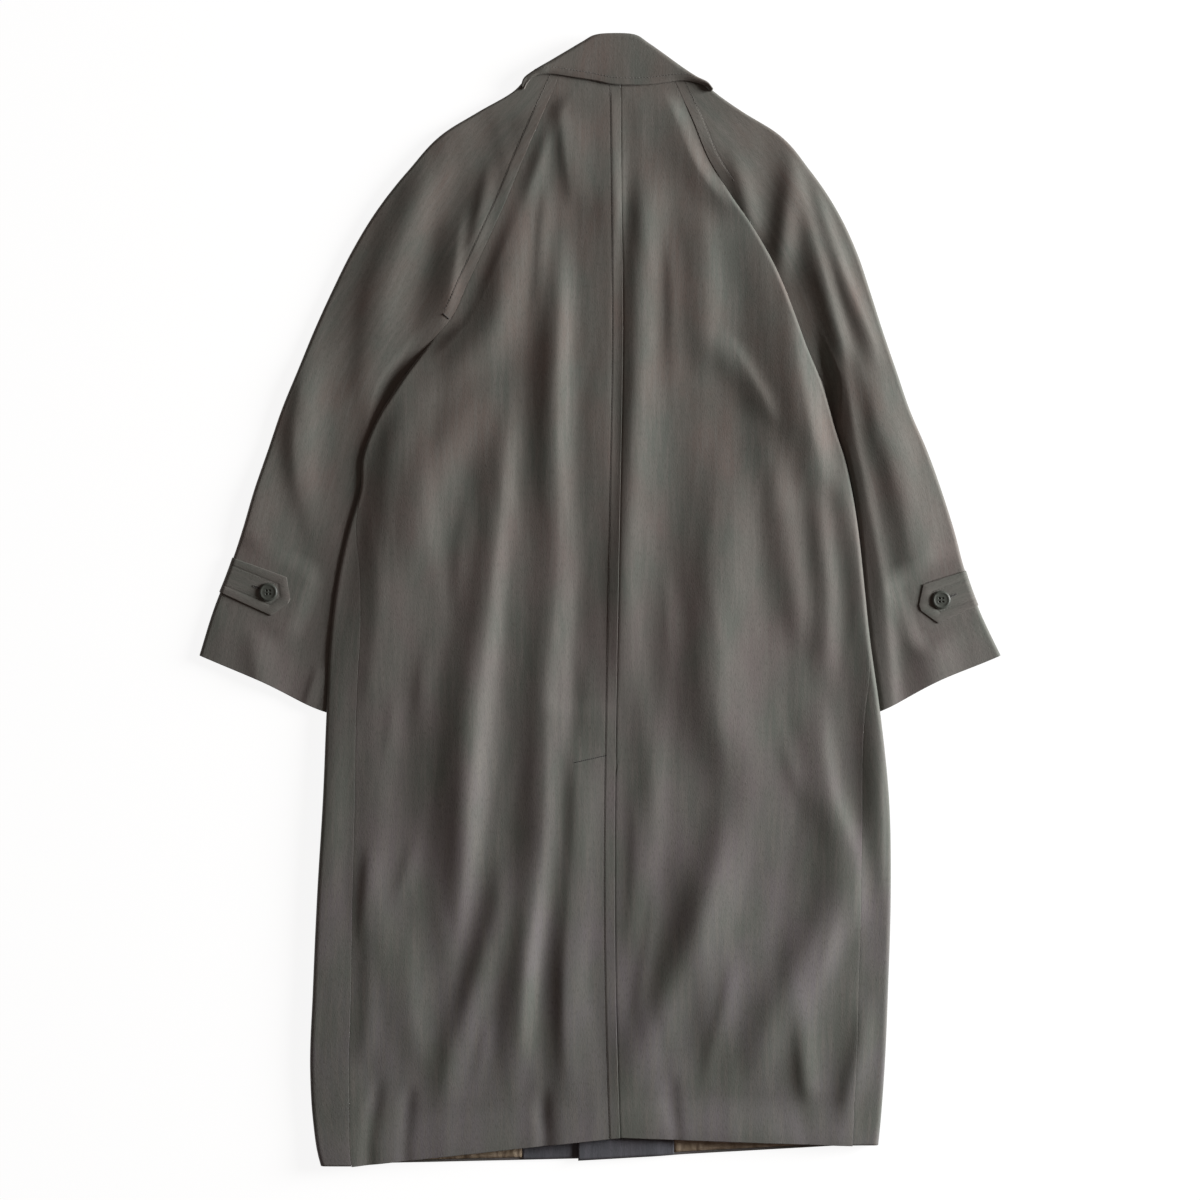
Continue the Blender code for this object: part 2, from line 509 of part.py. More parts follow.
def front_rows(side):
    """Outer and inner grids of a front panel, from the front edge over the floor to the side seam."""
    outer_rows, inner_rows = [], []
    levels = body_levels(side)
    front_levels = blend(FRONT_NECK_Y, FRONT_HEM_Y[side], (levels - NECK_Y) / (SIDE_HEM_Y[side] - NECK_Y))
    shares = np.array(FRONT_SHARES[side])
    for row, (y_edge, y_front) in enumerate(zip(levels, front_levels)):
        edge = body_edge[side](y_edge)
        x = blend(FRONT_EDGE_X[side], edge - side * FOLD_REACH, shares)
        y = blend(y_front, y_edge, shares)
        z = front_under(side, x, y)
        steps = np.arange(1, SIDE_COLUMNS + 1) / SIDE_COLUMNS
        if row < len(RAGLAN_ROWS) - 1:
            side_x = edge - side * (FOLD_REACH - (FOLD_REACH - SEAM_GAP / 2) * steps)
            side_outer = points(side_x, y_edge, front_under(side, side_x, y_edge))
            side_inner = side_outer + (0.0, 0.0, SHELL)
        else:
            along, outer, inner, seam = side_section(side, y_edge)
            where = (seam - side_seam_gap(side, y_edge) / 2) * steps
            side_outer, side_inner = sampled(along, outer, where), sampled(along, inner, where)
        outer_rows.append(np.concatenate((points(x, y, z), side_outer)))
        inner_rows.append(np.concatenate((points(x, y, z + SHELL), side_inner)))
    return np.array(outer_rows), np.array(inner_rows)


def sleeve_inner_x(side, y):
    """Inner edge of a sleeve: the raglan seam, then tucked under the body below the armpit."""
    tuck = SLEEVE_TUCK * smoothstep((ARMPIT_Y - y) / SLEEVE_TUCK_RUN)
    return body_edge[side](y) - side * (tuck - SEAM_GAP / 2 * (y >= ARMPIT_Y))


def sleeve_ends(side):
    """Outer and inner end of each row across a sleeve, at the same share of the way down both edges."""
    inner_y = np.concatenate(
        (body_levels(side)[: len(RAGLAN_ROWS)], np.linspace(ARMPIT_Y, CUFF_INNER_Y, CUFF_ROWS + 1)[1:])
    )
    inner = np.stack((sleeve_inner_x(side, inner_y), inner_y), axis=-1)
    down = np.concatenate(((0.0,), np.cumsum(np.hypot(*np.diff(inner, axis=0).T))))
    dense_y = np.linspace(SLEEVE_EDGE[0][0], SLEEVE_EDGE[-1][0], SLEEVE_EDGE_STEPS)
    dense_x = sleeve_edge[side](dense_y)
    dense_down = np.concatenate(((0.0,), np.cumsum(np.hypot(np.diff(dense_x), np.diff(dense_y)))))
    outer_y = np.interp(down / down[-1], dense_down / dense_down[-1], dense_y)
    return np.stack((sleeve_edge[side](outer_y), outer_y), axis=-1), inner


def cuff_bow(side, inner_y, share):
    """How far the cuff's edge bows out near its inner end and dips in beyond, by the share of its length."""
    near_cuff = smoothstep((CUFF_BOW_FROM_Y - inner_y) / (CUFF_BOW_FROM_Y - CUFF_INNER_Y))
    along = np.clip(share / CUFF_BOW_SHARE, 0.0, 1.0)
    bow = CUFF_BOW[side] * np.sin(np.pi * along) * (1 - along)
    return near_cuff * (bow - CUFF_DIP[side] * np.sin(np.pi * share) ** 2)


def sleeve_roll(low, high, angles, out=0.0):
    """Reach in from the sleeve's edge and height of points round its folded edge, moved out by a distance."""
    middle, half = (low + high) / 2, (high - low) / 2
    return FOLD_REACH - (FOLD_REACH + out) * np.cos(angles), middle + (half + out) * np.sin(angles)


def sleeve_back_rows(side):
    """Grids of a sleeve's upper half: from the inner edge over the top and round the outer edge."""
    outer_rows, inner_rows = [], []
    angles = np.radians(np.linspace(90.0, -90.0, ROLL_COLUMNS + 1))
    for start, end in zip(*sleeve_ends(side)):
        length = np.hypot(*(end - start))
        along = (end - start) / length
        strip = (0.0, STRIP_WIDTH, STRIP_WIDTH + STRIP_STEP)
        rest = np.linspace(strip[-1], length - FOLD_REACH, SLEEVE_COLUMNS + 1)[1:]
        from_seam = np.concatenate((strip, rest))
        x, y = (end - np.outer(from_seam, along)).T
        y = y - cuff_bow(side, end[1], from_seam / length)
        hold = tucked(end[1]) * (1 - smoothstep((from_seam - TUCKED_FLAT) / TUCKED_BLEND))
        z = blend(sleeve_top(x, y), SLEEVE_TUCKED, hold)
        depth = blend(wall_depth(sleeve_top, x, y), SHELL, hold)
        raised = z.copy()
        below_neck = smoothstep((SLEEVE_NECK_FLAT_Y - y[:2]) / STRIP_FADE)
        raised[:2] += STRIP_RAISE * (1 - tucked(end[1])) * below_neck
        floor = neck_rise(start[1])
        reach, roll_z = sleeve_roll(floor, z[-1], angles[1:])
        in_reach, in_z = sleeve_roll(floor, z[-1], angles[1:], -SHELL)
        outer_roll = points(*(start + np.outer(reach, along)).T, roll_z)
        inner_roll = points(*(start + np.outer(in_reach, along)).T, in_z)
        seam = start + OVERARM_INSET * along
        outer_rows.append(np.concatenate((points(x, y, raised), outer_roll, [(*seam, floor)])))
        inner_rows.append(np.concatenate((points(x, y, z - depth), inner_roll, [(*seam, floor + SHELL)])))
    return np.array(outer_rows), np.array(inner_rows)


def sleeve_front_rows(side):
    """Grids of a sleeve's lower half, flat on the floor between the seam below and the inner edge."""
    under = []
    for start, end in zip(*sleeve_ends(side)):
        along = (end - start) / np.hypot(*(end - start))
        seam = start + (OVERARM_INSET + SEAM_GAP) * along
        shares = np.array(UNDER_SLEEVE_SHARES)
        x, y = (seam + np.outer(shares, end - seam)).T
        y = y - cuff_bow(side, end[1], 1 - shares)
        under.append(points(x, y, neck_rise(start[1])))
    under = np.array(under)
    return under, under + (0.0, 0.0, SHELL)


def collar_rows():
    """Grids of the collar: from the fall's edge up to the roll, round it, and down the stand below."""
    stations = [(number, *row) for number, row in enumerate(COLLAR)]
    at = np.linspace(0, len(COLLAR) - 1, COLLAR_STATIONS)
    roll_x, roll_y, edge_x, edge_y = (curve(stations, column)(at) for column in (1, 2, 3, 4))
    outer_rows, inner_rows = [], []
    for roll, edge in zip(zip(roll_x, roll_y), zip(edge_x, edge_y)):
        roll, edge = np.array(roll), np.array(edge)
        length = np.hypot(*(edge - roll))
        along = (edge - roll) / length
        reach = min(COLLAR_ROLL_REACH, COLLAR_ROLL_SHARE * length)
        fall = np.linspace(length, reach, COLLAR_FALL_COLUMNS + 1)
        fall_z = COLLAR_EDGE_TOP + (COLLAR_ROLL_TOP - COLLAR_EDGE_TOP) * (1 - (fall / length) ** 3)
        middle, half = (fall_z[-1] + COLLAR_UNDER) / 2, (fall_z[-1] - COLLAR_UNDER) / 2
        angle = np.radians(np.linspace(90.0, -90.0, COLLAR_ROLL_COLUMNS + 1))[1:]
        stand_end = max(COLLAR_STAND_SHARE * length, reach + COLLAR_STAND_LEAST)
        stand = np.linspace(reach, stand_end, COLLAR_STAND_COLUMNS + 1)[1:]
        stand_z = np.full(COLLAR_STAND_COLUMNS, COLLAR_UNDER)
        out = np.concatenate((fall, reach * (1 - np.cos(angle)), stand))
        out_z = np.concatenate((fall_z, middle + half * np.sin(angle), stand_z))
        in_reach, in_half = reach - COLLAR_CLOTH, half - COLLAR_CLOTH
        inside = np.concatenate((fall, reach - in_reach * np.cos(angle), stand))
        roll_in_z = middle + in_half * np.sin(angle)
        in_z = np.concatenate((fall_z - COLLAR_CLOTH, roll_in_z, stand_z + COLLAR_CLOTH))
        outer_rows.append(points(*(roll + np.outer(out, along)).T, out_z))
        inner_rows.append(points(*(roll + np.outer(inside, along)).T, in_z))
    return np.array(outer_rows), np.array(inner_rows)


def collar_point_rows(side):
    """Grids of one end of the collar, flat on the floor under the front."""
    (roll_x, roll_y, edge_x, edge_y), (front_x, front_y, tip_x, tip_y) = COLLAR_POINT[side]
    across = np.linspace(0.0, 1.0, COLLAR_POINT_ROWS)[:, None]
    down = np.linspace(0.0, 1.0, COLLAR_POINT_COLUMNS)[None, :]
    x = blend(blend(roll_x, front_x, across), blend(edge_x, tip_x, across), down)
    y = blend(blend(roll_y, front_y, across), blend(edge_y, tip_y, across), down)
    under = points(x, y, 0.0)
    return under, under + (0.0, 0.0, COLLAR_CLOTH)


def tab_rows(side):
    """Grids of a cuff tab: round the sleeve's edge from below and over the sleeve to the tip."""
    along = np.array(TAB_ALONG[side])
    across = np.array((along[1], -along[0])) * side
    root = tab_place(side, 0.0)
    angles = np.radians(np.linspace(TAB_FROM_ANGLE, 90.0, TAB_ROLL_COLUMNS + 1))
    square = np.linspace(FOLD_REACH, TAB_LENGTH[side] - TAB_POINT, TAB_FLAT_COLUMNS + 1)[1:]
    tip = np.array((TAB_LENGTH[side] - TAB_POINT / 2, TAB_LENGTH[side]))
    flat = np.concatenate((square, tip))
    root_half = np.full(len(angles), TAB_ROOT_WIDTH / 2)
    square_half = blend(TAB_ROOT_WIDTH, TAB_WIDTH, square / square[-1]) / 2
    tip_half = np.array(((TAB_WIDTH + TAB_TIP_WIDTH) / 4, TAB_TIP_WIDTH / 2))
    half_width = np.concatenate((root_half, square_half, tip_half))
    grids = []
    for out in (TAB_GAP + TAB_CLOTH, TAB_GAP):
        roll_reach, roll_z = sleeve_roll(0.0, SLEEVE_REST, angles, out)
        reach = np.concatenate((roll_reach, flat))
        level = np.concatenate((roll_z, np.full(len(flat), SLEEVE_REST + out)))
        rows = []
        near_edge = 1 - smoothstep((reach - FOLD_REACH) / TAB_EDGE_RUN)
        for share in np.linspace(-1.0, 1.0, TAB_ROWS):
            start = root + np.outer(share * half_width, across)
            to_edge = (sleeve_edge[side](start[:, 1]) - start[:, 0]) * near_edge
            place = start + np.outer(reach, along)
            rows.append(points(place[:, 0] + to_edge, place[:, 1], level))
        grids.append(np.array(rows))
    return grids


def laid_on(inner, rows, columns, thickness, above_hem):
    """Grids of a piece that lies on the inside of a panel, from the panel's own points."""
    under = inner[rows, columns].copy()
    under[-1, :, 1] += above_hem
    under[..., 2] += LAYER_GAP
    return under, under + (0.0, 0.0, thickness)


def inset_column(grid, column, toward, distance):
    """Move one column of a grid along its rows towards the next column."""
    step = grid[:, toward] - grid[:, column]
    grid[:, column] += step * (distance / np.linalg.norm(step, axis=-1, keepdims=True))


def vent_underlap_rows(back_inner):
    """Grids of the vent's underlap, from the points of the left back's inside, moved down."""
    last = VENT_UNDERLAP_COLUMNS - 1
    below = back_inner[centre_levels() < VENT_TOP_Y - VENT_UNDERLAP_BELOW][:, -VENT_UNDERLAP_COLUMNS:].copy()
    inset_column(below, last, last - 1, VENT_LAP + SEAM_GAP)
    inset_column(below, 0, 1, max(0.0, below[0, last, 0] - below[0, 0, 0] - VENT_UNDERLAP_WIDTH))
    below[-1, :, 1] += FACING_ABOVE_HEM
    below[..., 2] -= VENT_UNDERLAP_GAP
    return below, below - (0.0, 0.0, SHELL)


def material(name, colour, roughness):
    made = bpy.data.materials.get(name) or bpy.data.materials.new(name)
    made.use_nodes = True
    shader = made.node_tree.nodes["Principled BSDF"]
    shader.inputs["Base Color"].default_value = (*colour, 1.0)
    shader.inputs["Roughness"].default_value = roughness
    shader.inputs["Metallic"].default_value = 0.0
    return made


def add_object(name, bm, cloth):
    bmesh.ops.recalc_face_normals(bm, faces=bm.faces)
    mesh = bpy.data.meshes.new(name)
    bm.to_mesh(mesh)
    bm.free()
    mesh.materials.append(material(*cloth))
    mesh.shade_smooth()
    mesh.set_sharp_from_angle(angle=np.radians(SHARP_ANGLE))
    made = bpy.data.objects.new(name, mesh)
    bpy.context.collection.objects.link(made)
    return made


def add_wall(name, grids, cloth):
    """A closed wall between two grids of points with the same rows and columns."""
    bm = bmesh.new()
    outer, inner = ([[bm.verts.new(MM * point) for point in row] for row in grid] for grid in grids)
    rows, columns = len(outer), len(outer[0])
    for row in range(rows - 1):
        for column in range(columns - 1):
            for grid in (outer, inner):
                above, below = grid[row], grid[row + 1]
                corners = (above[column], above[column + 1], below[column + 1], below[column])
                bm.faces.new(corners if grid is outer else corners[::-1])
    border = [(0, column) for column in range(columns - 1)]
    border += [(row, columns - 1) for row in range(rows - 1)]
    border += [(rows - 1, column) for column in range(columns - 1, 0, -1)]
    border += [(row, 0) for row in range(rows - 1, 0, -1)]
    for (row, column), (next_row, next_column) in zip(border, border[1:] + border[:1]):
        bm.faces.new(
            (
                outer[next_row][next_column],
                outer[row][column],
                inner[row][column],
                inner[next_row][next_column],
            )
        )
    return add_object(name, bm, cloth)


def add_button(side):
    """A four-hole button: a turned disc with a raised rim, on the tab behind its tip."""
    centre = tab_place(side, TAB_LENGTH[side] - BUTTON_FROM_TIP)
    base = SLEEVE_REST + TAB_GAP + TAB_CLOTH + LAYER_GAP
    dish = BUTTON_THICKNESS - BUTTON_DISH
    profile = (
        (BUTTON_RADIUS - BUTTON_BACK_BEVEL, 0.0),
        (BUTTON_RADIUS, BUTTON_BACK_BEVEL),
        (BUTTON_RADIUS, BUTTON_THICKNESS - BUTTON_RIM_BEVEL),
        (BUTTON_RADIUS - BUTTON_RIM_BEVEL, BUTTON_THICKNESS),
        (BUTTON_RADIUS - BUTTON_RIM, BUTTON_THICKNESS),
        (BUTTON_RADIUS - BUTTON_RIM - BUTTON_DISH_SLOPE, dish),
    )
    bm = bmesh.new()
    around = np.linspace(0.0, 2 * np.pi, BUTTON_SIDES, endpoint=False)
    rings = [
        [bm.verts.new(MM * np.array((radius * np.cos(a), radius * np.sin(a), height))) for a in around]
        for radius, height in profile
    ]
    for lower, upper in zip(rings, rings[1:]):
        for k in range(len(around)):
            nearby = (k + 1) % len(around)
            bm.faces.new((lower[k], lower[nearby], upper[nearby], upper[k]))
    bm.faces.new(rings[0][::-1])
    bm.faces.new(rings[-1])
    button = add_object(f"cuff_button_{SIDE_NAME[side]}", bm, BUTTON_PLASTIC)
    for quarter in range(4):
        angle = np.pi / 4 + quarter * np.pi / 2
        spot = (MM * BUTTON_HOLE_SPREAD * np.cos(angle), MM * BUTTON_HOLE_SPREAD * np.sin(angle), 0.0)
        bpy.ops.mesh.primitive_cylinder_add(
            vertices=BUTTON_HOLE_SIDES,
            radius=MM * BUTTON_HOLE_RADIUS,
            depth=MM * BUTTON_RADIUS * 2,
            location=spot,
        )
        cutter = bpy.context.active_object
        cut = button.modifiers.new("thread hole", "BOOLEAN")
        cut.operation = "DIFFERENCE"
        cut.solver = "EXACT"
        cut.object = cutter
        bpy.context.view_layer.objects.active = button
        bpy.ops.object.modifier_apply(modifier=cut.name)
        bpy.data.objects.remove(cutter)
    button.data.transform(Matrix.Translation(MM * np.array((*centre, base))))


def add_body(side):
    name = SIDE_NAME[side]
    back = back_rows(side)
    front = front_rows(side)
    add_wall(f"back_{name}", back, GABARDINE)
    add_wall(f"front_{name}", front, GABARDINE)
    if side == LEFT:
        add_wall("vent_underlap", vent_underlap_rows(back[1]), GABARDINE)
    rows = slice(-INSIDE_ROWS - 1, None)
    split = FACING_COLUMN[side]
    facing = laid_on(front[1], rows, slice(0, split + 1), FACING, FACING_ABOVE_HEM)
    lining = laid_on(front[1], rows, slice(split, LINING_LAST_COLUMN[side] + 1), LINING, LINING_ABOVE_HEM)
    for grid in lining:
        grid[:, 0, 0] += side * SEAM_GAP
    add_wall(f"facing_{name}", facing, FACING_CLOTH)
    add_wall(f"lining_{name}", lining, LINING_CLOTH)


def add_sleeve(side):
    name = SIDE_NAME[side]
    add_wall(f"sleeve_back_{name}", sleeve_back_rows(side), GABARDINE)
    add_wall(f"sleeve_front_{name}", sleeve_front_rows(side), GABARDINE)
    add_wall(f"cuff_tab_{name}", tab_rows(side), GABARDINE)
    add_button(side)


def main():
    for old in list(bpy.data.objects):
        bpy.data.objects.remove(old)
    for side in (LEFT, RIGHT):
        add_body(side)
        add_sleeve(side)
        add_wall(f"collar_point_{SIDE_NAME[side]}", collar_point_rows(side), GABARDINE)
    add_wall("collar", collar_rows(), GABARDINE)


main()
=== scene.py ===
"""Looks of a loose raglan coat in wool gabardine that lies on a pale floor with its back up.

Sizes are in millimetres from the middle of the coat's outline, z is the height above the floor, and left is
the wearer's left, which is the -X side. Every cloth piece is a surface worked out on a grid, rows by columns,
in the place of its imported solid, and gets its thickness on the inside.
"""

import bmesh
import bpy
import numpy as np
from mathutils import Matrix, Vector


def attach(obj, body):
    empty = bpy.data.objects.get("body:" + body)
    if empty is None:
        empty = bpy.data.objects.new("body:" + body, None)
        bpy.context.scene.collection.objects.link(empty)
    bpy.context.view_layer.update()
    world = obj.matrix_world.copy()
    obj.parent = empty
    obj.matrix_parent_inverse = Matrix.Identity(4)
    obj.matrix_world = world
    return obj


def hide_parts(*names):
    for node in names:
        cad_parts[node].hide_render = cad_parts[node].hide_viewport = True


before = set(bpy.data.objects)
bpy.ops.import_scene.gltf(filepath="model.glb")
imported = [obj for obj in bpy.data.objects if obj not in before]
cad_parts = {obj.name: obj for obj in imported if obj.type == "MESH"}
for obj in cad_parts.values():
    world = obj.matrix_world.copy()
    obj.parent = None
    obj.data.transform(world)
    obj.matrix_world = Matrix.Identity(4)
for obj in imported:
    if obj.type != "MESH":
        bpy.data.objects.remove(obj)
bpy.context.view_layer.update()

MM = 0.001
LEFT, RIGHT = -1, 1
SIDE_NAME = {LEFT: "left", RIGHT: "right"}

# Cloth thicknesses and the clear space between pieces
SHELL = 1.6
COLLAR_CLOTH = 2.2
TAB_CLOTH = 1.0
FACING = 1.2
LINING = 1.0
LAYER_GAP = 0.4
SEAM_GAP = 0.08
CENTRE_GAP, NECK_GAP = 0.3, 0.04
SEAM_SINK, SEAM_SINK_REACH = 0.08, 1.2
CENTRE_SINK, CENTRE_SINK_REACH = 0.4, 1.4

# Levels of the layers above the floor
BACK_REST = 12.5
BACK_LOWEST = 9.0
SLEEVE_REST = 8.0
SLEEVE_LOWEST = 4.4
SLEEVE_TUCKED = 5.2
NECK_LEVEL = 10.2
OVER_SLEEVE = SLEEVE_TUCKED + LAYER_GAP
NECK_RISE = COLLAR_CLOTH + LAYER_GAP
LAP_RISE = SHELL + FACING + 2 * LAYER_GAP
SETTLE_SOFTNESS = 1.5

# Heights of the outline's corners
NECK_Y = 585.0
CENTRE_NECK_Y = 588.0
FRONT_NECK_Y = 545.0
ARMPIT_Y = 240.0
CUFF_INNER_Y = -128.0
CUFF_BOW = {LEFT: 6.5, RIGHT: 4.5}
CUFF_BOW_SHARE = 0.6
CUFF_DIP = {LEFT: 0.6, RIGHT: 3.0}
CUFF_BOW_FROM_Y = -40.0
CENTRE_HEM_Y = -591.0
SIDE_HEM_Y = {LEFT: -623.0, RIGHT: -600.0}
FRONT_HEM_Y = {LEFT: -615.0, RIGHT: -618.5}
NECK_FLAT_Y = 566.0
NECK_BLEND = 30.0
SLEEVE_NECK_FLAT_Y = 550.0
NECK_RISE_FROM_Y, NECK_RISE_TO_Y = 415.0, 465.0

# Folded edges, seams and laps
FOLD_REACH = 4.5
FOLD_FROM_Y = {LEFT: 300.0, RIGHT: 470.0}
FOLD_RUN = 45.0
SEAM_BLEND = {LEFT: 24.0, RIGHT: 20.0}
STRIP_WIDTH = 11.0
STRIP_RAISE = 0.35
STRIP_SOFT = 1.8
STRIP_FADE = 15.0
STITCH_DEPTH, STITCH_REACH = 0.24, 0.8
COLLAR_STITCH_DEPTH = 0.10
OVERARM_INSET = 14.0
SLEEVE_TUCK = 16.0
SLEEVE_TUCK_RUN = 70.0
TUCKED_FLAT = 10.0
TUCKED_BLEND = {LEFT: 13.0, RIGHT: 12.0}
ARMPIT_RUN = 60.0
ON_SLEEVE_WIDTH, ON_SLEEVE_RAMP = 45.0, 40.0
ON_SLEEVE_ABOVE = 30.0
ON_SLEEVE_BELOW, ON_SLEEVE_BELOW_RAMP = 77.0, 40.0
VENT_TOP_Y = -171.0
VENT_LIFT = SHELL + 2 * LAYER_GAP
VENT_LIFT_ABOVE, VENT_LIFT_RUN = 65.0, 25.0
VENT_LIFT_WIDTH, VENT_LIFT_RAMP = 60.0, 25.0
VENT_LAP = 4.0
VENT_LAP_RUN = 30.0
VENT_LAP_DROP = 0.6
VENT_UNDERLAP_WIDTH = 45.0
VENT_UNDERLAP_GAP = 0.8
VENT_UNDERLAP_BELOW = 20.0
FRONT_EDGE_X = {LEFT: 50.0, RIGHT: -24.0}
FRONT_LAP_CLEAR, FRONT_LAP_RAMP = 6.0, 40.0

# Body outline: height y, left edge x, right edge x. Raglan seam down to the armpit, folded side below.
BODY_EDGE = (
    (590, -40, 75), (572, -47, 82), (530, -65, 101), (484, -85, 120), (442, -102, 146), (396, -123, 177),
    (349, -145, 201), (308, -165, 217), (283, -187, 226), (240, -220, 244), (187, -251, 259),
    (154, -262, 270), (127, -263, 276), (77, -277, 284), (22, -289, 290), (-44, -297, 297),
    (-123, -301, 308), (-220, -305, 318), (-319, -311, 320), (-429, -316, 317), (-519, -319, 313),
    (-572, -316, 309), (-612, -310, 305), (-626, -306, 304),
)
# Sleeve outline: height y, left outer edge x, right outer edge x
SLEEVE_EDGE = (
    (577, -78, 100), (571, -84.5, 113), (562, -93, 123), (537, -135, 158), (517, -168, 191),
    (473, -211, 231), (429, -246, 261), (385, -273, 282), (341, -295, 297), (297, -315, 311),
    (253, -333, 326), (209, -351, 341), (165, -366, 360), (121, -381, 376), (77, -394, 390),
    (33, -409, 402), (-11, -426, 418), (-61, -441.5, 441.5),
)
# Width of the front that shows on the back beside the folded edge: height y, left, right
SIDE_SHOWS = (
    (240, 0, 0), (127, 0, 0), (102, 3, 0), (77, 9, 0), (22, 25, 0), (-44, 33, 0), (-88, 33, 8),
    (-123, 33, 17), (-176, 34, 26), (-264, 37, 32), (-385, 41, 33), (-495, 43, 32), (-550, 42, 31),
    (-626, 34, 27),
)
# Free edge of the lapped centre-back seam: height y, x
CENTRE_EDGE = (
    (590, 22), (430, 24), (300, 25), (110, 22), (-110, 18), (-290, 16), (-420, 17), (-505, 19), (-595, 22),
)

